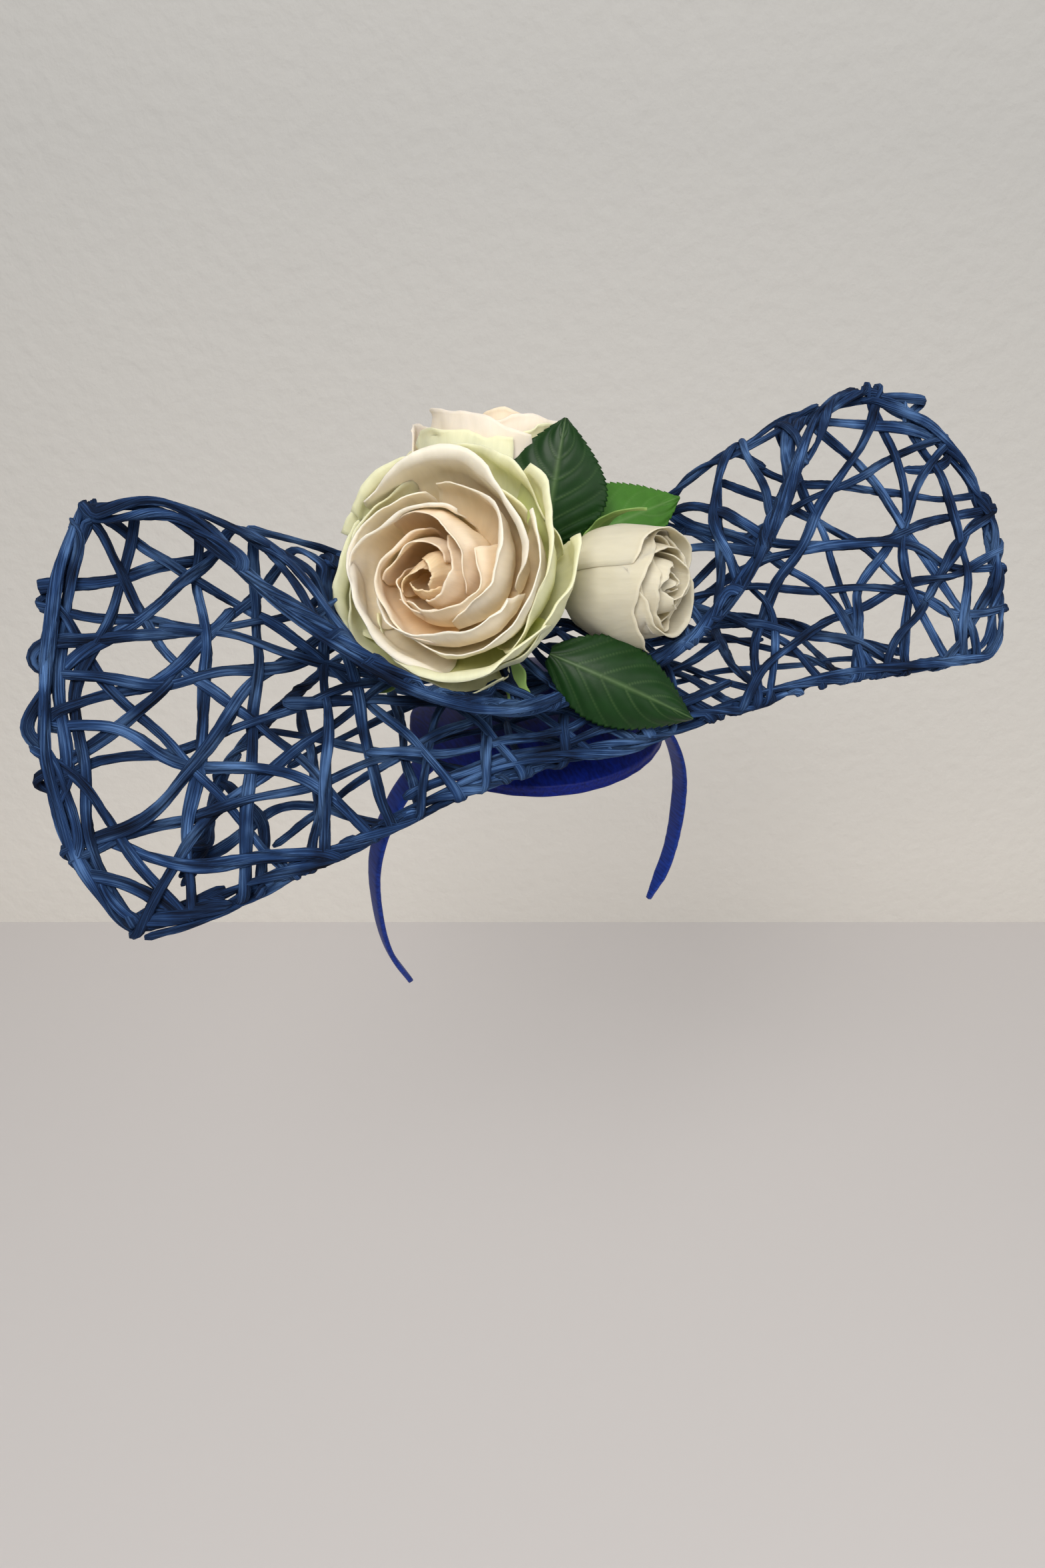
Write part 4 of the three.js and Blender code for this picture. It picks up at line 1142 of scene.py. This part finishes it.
def leaf_piece(name, root, tip, width, bow, fold, colour, material, slot_name):
    """A serrated leaf with raised veins, bowed towards its face."""
    rows, columns = 160, 45
    along, across, out = leaf_axes(root, tip)
    points = np.zeros((rows, columns, 3))
    tints = np.zeros((rows, columns, 3))
    for row, v in enumerate(np.linspace(0, 1, rows)):
        half = leaf_half_width(width, v)
        tooth = 1.0 * (1 - (v * LEAF_TEETH) % 1) * min(1, 8 * (1 - v)) * min(1, 6 * v)
        for column, u in enumerate(np.linspace(-1, 1, columns)):
            edge = max(0, (abs(u) - 0.86) / 0.14)
            side = u * half + math.copysign(edge * tooth, u)
            vein = (v - 0.3 * abs(u) - 0.06 * u * u) * VEIN_PAIRS
            away = abs(vein - round(vein))
            line = max(0, 1 - away * 14) * (1 - 0.7 * abs(u))
            mid = max(0, 1 - abs(u) * 14)
            puff = 0.45 * math.cos(2 * math.pi * vein) * abs(u) * (1 - 0.5 * abs(u))
            height = bow * math.sin(math.pi * v) + fold * u * u - puff + 0.25 * max(mid, line)
            height += 1.2 * math.sin(5 * v + name.count("e")) * abs(u) ** 2
            points[row, column] = np.array(root) + along * v + across * side + out * height
            share = 0.32 * max(mid, 0.7 * line)
            tints[row, column] = (1 - share) * np.array(colour) + share * np.array(VEIN)
    body, faces, uvs = sheet_mesh(points, LEAF_CLOTH)
    piece = make_piece(name + "_blade", body, faces, uvs, np.concatenate([tints.reshape(-1, 3)] * 2))
    piece.data.materials.append(material)
    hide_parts(name)


for name, *shape in leaf_rows:
    if name == "leaf_side":
        leaf_piece(name, *shape, LEAF_MID, mid_leaf_cloth, "mid_leaf")
    else:
        leaf_piece(name, *shape, LEAF_DARK, dark_leaf_cloth, "dark_leaf")


# Sepals: angle in degrees, width in millimetres, bulge and tip as shares of the flower's radius
SEPAL_GREEN = linear(150, 184, 108)
STEM_RADIUS = 8
sepal_rows = {
    "rose": (
        (200, 9, (1.04, -0.1), (1.2, 0.5)),
        (262, 11, (1.04, -0.1), (1.2, 0.34)),
    ),
    "bud": (
        (-8, 8, (1.2, 0.04), (1.25, 1.5)),
        (72, 8, (1.2, 0.04), (1.1, 1.6), 42),
        (190, 8, (1.2, 0.04), (0.98, 0.75)),
    ),
}


def sepal_piece(flower, number, matrix, radius, angle, width, bulge, tip, sweep=0):
    """A narrow pointed sepal that curls away from its flower."""
    rows, columns = 48, 13
    middle = math.radians(angle)
    root = ((STEM_RADIUS + 1) / radius, -0.02)
    profile = bend_points((root, bulge, tip), rows) * radius
    points = np.zeros((rows, columns, 3))
    tints = np.zeros((rows, columns, 3))
    for row, (x, z) in enumerate(profile):
        v = row / (rows - 1)
        half = width / 2 * (0.45 + 1.9 * v - 2.0 * v ** 2) * min(1, 6 * (1 - v) + 0.06)
        half *= 1 + 0.12 * math.sin(26 * v)
        for column, u in enumerate(np.linspace(-1, 1, columns)):
            lean = middle + math.radians(sweep) * v ** 1.5 + u * half / x
            out = x + 0.9 * abs(u) * v + 1.2 * v + 1.5 * v ** 4
            points[row, column] = (out * math.cos(lean), out * math.sin(lean), z)
            share = max(0, 1 - abs(u) * 5) * 0.3
            tints[row, column] = (1 - share) * np.array(SEPAL_GREEN) + share * np.array(LIME)
    body, faces, uvs = sheet_mesh(points, LEAF_CLOTH)
    turned = body @ np.array(matrix.to_3x3()).T + np.array(matrix.translation)
    name = f"{flower}_sepal_{number}"
    piece = make_piece(name + "_blade", turned, faces, uvs, np.concatenate([tints.reshape(-1, 3)] * 2))
    piece.data.materials.append(mid_leaf_cloth)
    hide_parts(name)


for flower, matrix, radius in (("rose", rose_matrix, ROSE_RADIUS), ("bud", bud_matrix, BUD_RADIUS)):
    for number, row in enumerate(sepal_rows[flower], 1):
        sepal_piece(flower, number, matrix, radius, *row)


# Satin cap and band

CROWN_STEPS = 40
CAP_SEGMENTS = 144
CAP_EDGE_ROUND = 1.2


def cap_piece():
    """The covered dome: a smooth crown, a turned edge, a side band with a seam and a hollow below."""
    rows = []
    for radius in np.linspace(0.01, cap_radius - CAP_EDGE_ROUND, CROWN_STEPS):
        rows.append((radius, cap_top - cap_sag * (radius / cap_radius) ** 2))
    edge_top = cap_top - cap_sag
    edge_low = edge_top - cap_side
    for degrees in (70, 45, 20, 0):
        angle = math.radians(degrees)
        rows.append((cap_radius - CAP_EDGE_ROUND + CAP_EDGE_ROUND * math.cos(angle),
                     edge_top - CAP_EDGE_ROUND + CAP_EDGE_ROUND * math.sin(angle) + 0.5))
    rows += [(cap_radius, edge_top - 2), (cap_radius - 0.35, edge_low + 1.6), (cap_radius, edge_low + 1.1),
             (cap_radius - 0.1, edge_low + 0.4), (cap_radius - 0.6, edge_low)]
    inner = cap_radius - cap_wall
    rows += [(inner + 0.4, edge_low), (inner, edge_low + 0.5)]
    for radius in np.linspace(inner, 0.01, 24):
        rows.append((radius, cap_top - cap_wall - cap_sag * (radius / cap_radius) ** 2))
    points = []
    for number, (radius, height) in enumerate(rows):
        for segment in range(CAP_SEGMENTS):
            angle = 2 * math.pi * segment / CAP_SEGMENTS
            pucker = 0.12 * math.sin(31 * angle + 2 * math.sin(5 * angle)) if number > CROWN_STEPS - 6 else 0
            wide = radius + (pucker if radius > inner + 1 else 0)
            points.append((wide * math.cos(angle), wide * math.sin(angle), height))
    faces = grid_faces(len(rows), CAP_SEGMENTS, closed=True)
    faces.append(tuple(reversed(range(CAP_SEGMENTS))))
    faces.append(tuple(range((len(rows) - 1) * CAP_SEGMENTS, len(rows) * CAP_SEGMENTS)))
    piece = make_piece("satin_cap", points, faces)
    piece.data.materials.append(satin)
    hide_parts("base_cap")


band_half_width = 81
band_drop = 138
band_crown_width = 14
band_tip_width = 7
# Stations of the arch: out as a share of its half width, down as a share of its drop
band_stations = ((0, 0), (0.45, 0.05), (0.8, 0.2), (0.98, 0.42), (1, 0.64), (0.95, 0.84), (0.84, 1))


def band_piece():
    """The covered arch: a rounded flat strip with cloth gathered a little at its edges."""
    half = [(out * band_half_width, 0, band_thickness / 2 - down * band_drop) for out, down in band_stations]
    arch = [(-x, y, z) for x, y, z in reversed(half[1:])] + half
    path = smooth_path(arch, 2.0)
    rings = len(path)
    tangent = unit(np.gradient(path, axis=0))
    wide = np.tile((0.0, 1.0, 0.0), (rings, 1))
    out = unit(np.cross(tangent, wide))
    sides = 20
    points = []
    for ring in range(rings):
        from_crown = abs(2 * ring / (rings - 1) - 1)
        width = band_crown_width + (band_tip_width - band_crown_width) * from_crown ** 2
        width *= min(1, 0.35 + 9 * (1 - from_crown))
        for side in range(sides):
            angle = 2 * math.pi * side / sides
            square = 0.5
            across = math.copysign(abs(math.cos(angle)) ** square, math.cos(angle))
            above = math.copysign(abs(math.sin(angle)) ** square, math.sin(angle))
            gather = 0.12 * math.sin(ring * 1.1 + 3 * math.sin(ring * 0.37)) * abs(across) ** 4
            points.append(path[ring] + wide[ring] * across * (width / 2 + gather)
                          + out[ring] * above * (band_thickness / 2 + gather * 0.3))
    faces = grid_faces(rings, sides, closed=True)
    faces.append(tuple(reversed(range(sides))))
    faces.append(tuple(range((rings - 1) * sides, rings * sides)))
    piece = make_piece("satin_band", points, faces)
    piece.data.materials.append(band_satin)
    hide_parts("headband")


cap_piece()
band_piece()

for node_name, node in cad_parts.items():
    if "stem" in node_name:
        node.data.materials.clear()
        node.data.materials.append(stem_wrap)


# Camera at the photograph's viewing angle

CAMERA_AZIMUTH = -27
CAMERA_ELEVATION = 34
IMAGE_WIDTH = 1568
IMAGE_HEIGHT = 2352
FOCAL_PIXELS = 1640
ANCHOR_DEPTH = 474
ANCHOR_PIXEL = (806, 1030)
ANCHOR = (0, 0, 8)
FILM_HEIGHT = 36


def add_camera():
    turn = math.radians(CAMERA_AZIMUTH)
    rise = math.radians(CAMERA_ELEVATION)
    back = Vector((math.sin(turn) * math.cos(rise), -math.cos(turn) * math.cos(rise), math.sin(rise)))
    right = Vector((math.cos(turn), math.sin(turn), 0))
    up = back.cross(right)
    aside = (ANCHOR_PIXEL[0] - IMAGE_WIDTH / 2) / FOCAL_PIXELS * ANCHOR_DEPTH
    above = -(ANCHOR_PIXEL[1] - IMAGE_HEIGHT / 2) / FOCAL_PIXELS * ANCHOR_DEPTH
    place = Vector(ANCHOR) + back * ANCHOR_DEPTH - right * aside - up * above
    data = bpy.data.cameras.new("camera")
    data.sensor_fit = "VERTICAL"
    data.sensor_height = FILM_HEIGHT
    data.lens = FOCAL_PIXELS / IMAGE_HEIGHT * FILM_HEIGHT
    data.clip_start = 0.01
    camera = bpy.data.objects.new("camera", data)
    bpy.context.scene.collection.objects.link(camera)
    turned = Matrix((right, up, back)).transposed().to_4x4()
    camera.matrix_world = Matrix.Translation(place * METRES) @ turned
    bpy.context.scene.camera = camera
    return camera


add_camera()

# Floor, wall and light
FLOOR_DROP = 783
WALL_AWAY = 750
STAGE_REACH = 3000
# Heights in metres where the wall paint is palest and darkest; the paler paint towards the floor is painted
# light
WALL_MOST_PAINTED_LIGHT_HEIGHT = -0.66
WALL_NO_PAINTED_LIGHT_HEIGHT = 0.17


def plain(name, colour):
    material, _, _, shader = new_material(name, 0.9, 0.1)
    shader.inputs["Base Color"].default_value = (*colour, 1)
    return material


def wall_with_painted_light():
    """Plaster with painted light: paler towards the floor, where less light falls."""
    material, nodes, links, shader = new_material("backdrop_wall_with_painted_light", 0.9, 0.1)
    coordinates = nodes.new("ShaderNodeTexCoord")
    parts = nodes.new("ShaderNodeSeparateXYZ")
    links.new(coordinates.outputs["Object"], parts.inputs["Vector"])
    rise = nodes.new("ShaderNodeMapRange")
    rise.inputs["From Min"].default_value = WALL_MOST_PAINTED_LIGHT_HEIGHT
    rise.inputs["From Max"].default_value = WALL_NO_PAINTED_LIGHT_HEIGHT
    links.new(parts.outputs["Z"], rise.inputs["Value"])
    # Painted light: a paler colour low on the wall, where less light falls
    colour = ramp_node(nodes, links, rise.outputs["Result"], (
        (0.0, linear(240, 236, 229)),
        (1.0, linear(201, 200, 197)),
    ))
    links.new(colour, shader.inputs["Base Color"])
    grain = noise_node(nodes, links, coordinates.outputs["Object"], 60.0, 5.0)
    bump_node(nodes, links, grain, shader, 0.5, 0.004)
    return material


def add_stage():
    turn = math.radians(CAMERA_AZIMUTH)
    forward = Vector((-math.sin(turn), math.cos(turn), 0))
    right = Vector((math.cos(turn), math.sin(turn), 0))
    foot = forward * WALL_AWAY + Vector((0, 0, -FLOOR_DROP))
    wall = [foot - right * STAGE_REACH, foot + right * STAGE_REACH]
    wall += [point + Vector((0, 0, STAGE_REACH)) for point in reversed(wall)]
    floor = [foot - right * STAGE_REACH, foot + right * STAGE_REACH]
    floor += [point - forward * STAGE_REACH for point in reversed(floor)]
    for name, corners, paint in (
        ("backdrop_wall", wall, wall_with_painted_light()),
        ("backdrop_floor", floor, plain("backdrop_floor_paint", linear(217, 213, 212))),
    ):
        mesh = bpy.data.meshes.new(name)
        mesh.from_pydata([tuple(corner * METRES) for corner in corners], [], [(0, 1, 2, 3)])
        sheet = bpy.data.objects.new(name, mesh)
        sheet.data.materials.append(paint)
        bpy.context.scene.collection.objects.link(sheet)


# Name, place and size in metres, power in watts, colour
lights = (
    ("key_light", (-0.9, -1.1, 1.5), 0.9, 35, (1.0, 0.97, 0.93)),
    ("fill_light", (0.6, -1.4, 0.7), 1.2, 8, (1.0, 0.98, 0.95)),
    ("top_light", (0.1, -0.1, 1.6), 1.2, 4, (1.0, 0.98, 0.95)),
)
LIGHT_AIM = Vector((0, 0, 0.04))
SKY_STRENGTH = 0.25


def add_light(name, place, size, power, colour):
    data = bpy.data.lights.new(name, "AREA")
    data.size = size
    data.energy = power
    data.color = colour
    lamp = bpy.data.objects.new(name, data)
    lamp.location = place
    aim = LIGHT_AIM - Vector(place)
    lamp.rotation_euler = aim.to_track_quat("-Z", "Y").to_euler()
    bpy.context.scene.collection.objects.link(lamp)


add_stage()
for row in lights:
    add_light(*row)
world = bpy.data.worlds.new("studio")
world.use_nodes = True
world.node_tree.nodes["Background"].inputs["Color"].default_value = (0.95, 0.97, 1.0, 1)
world.node_tree.nodes["Background"].inputs["Strength"].default_value = SKY_STRENGTH
bpy.context.scene.world = world
bpy.context.scene.view_settings.view_transform = "Standard"
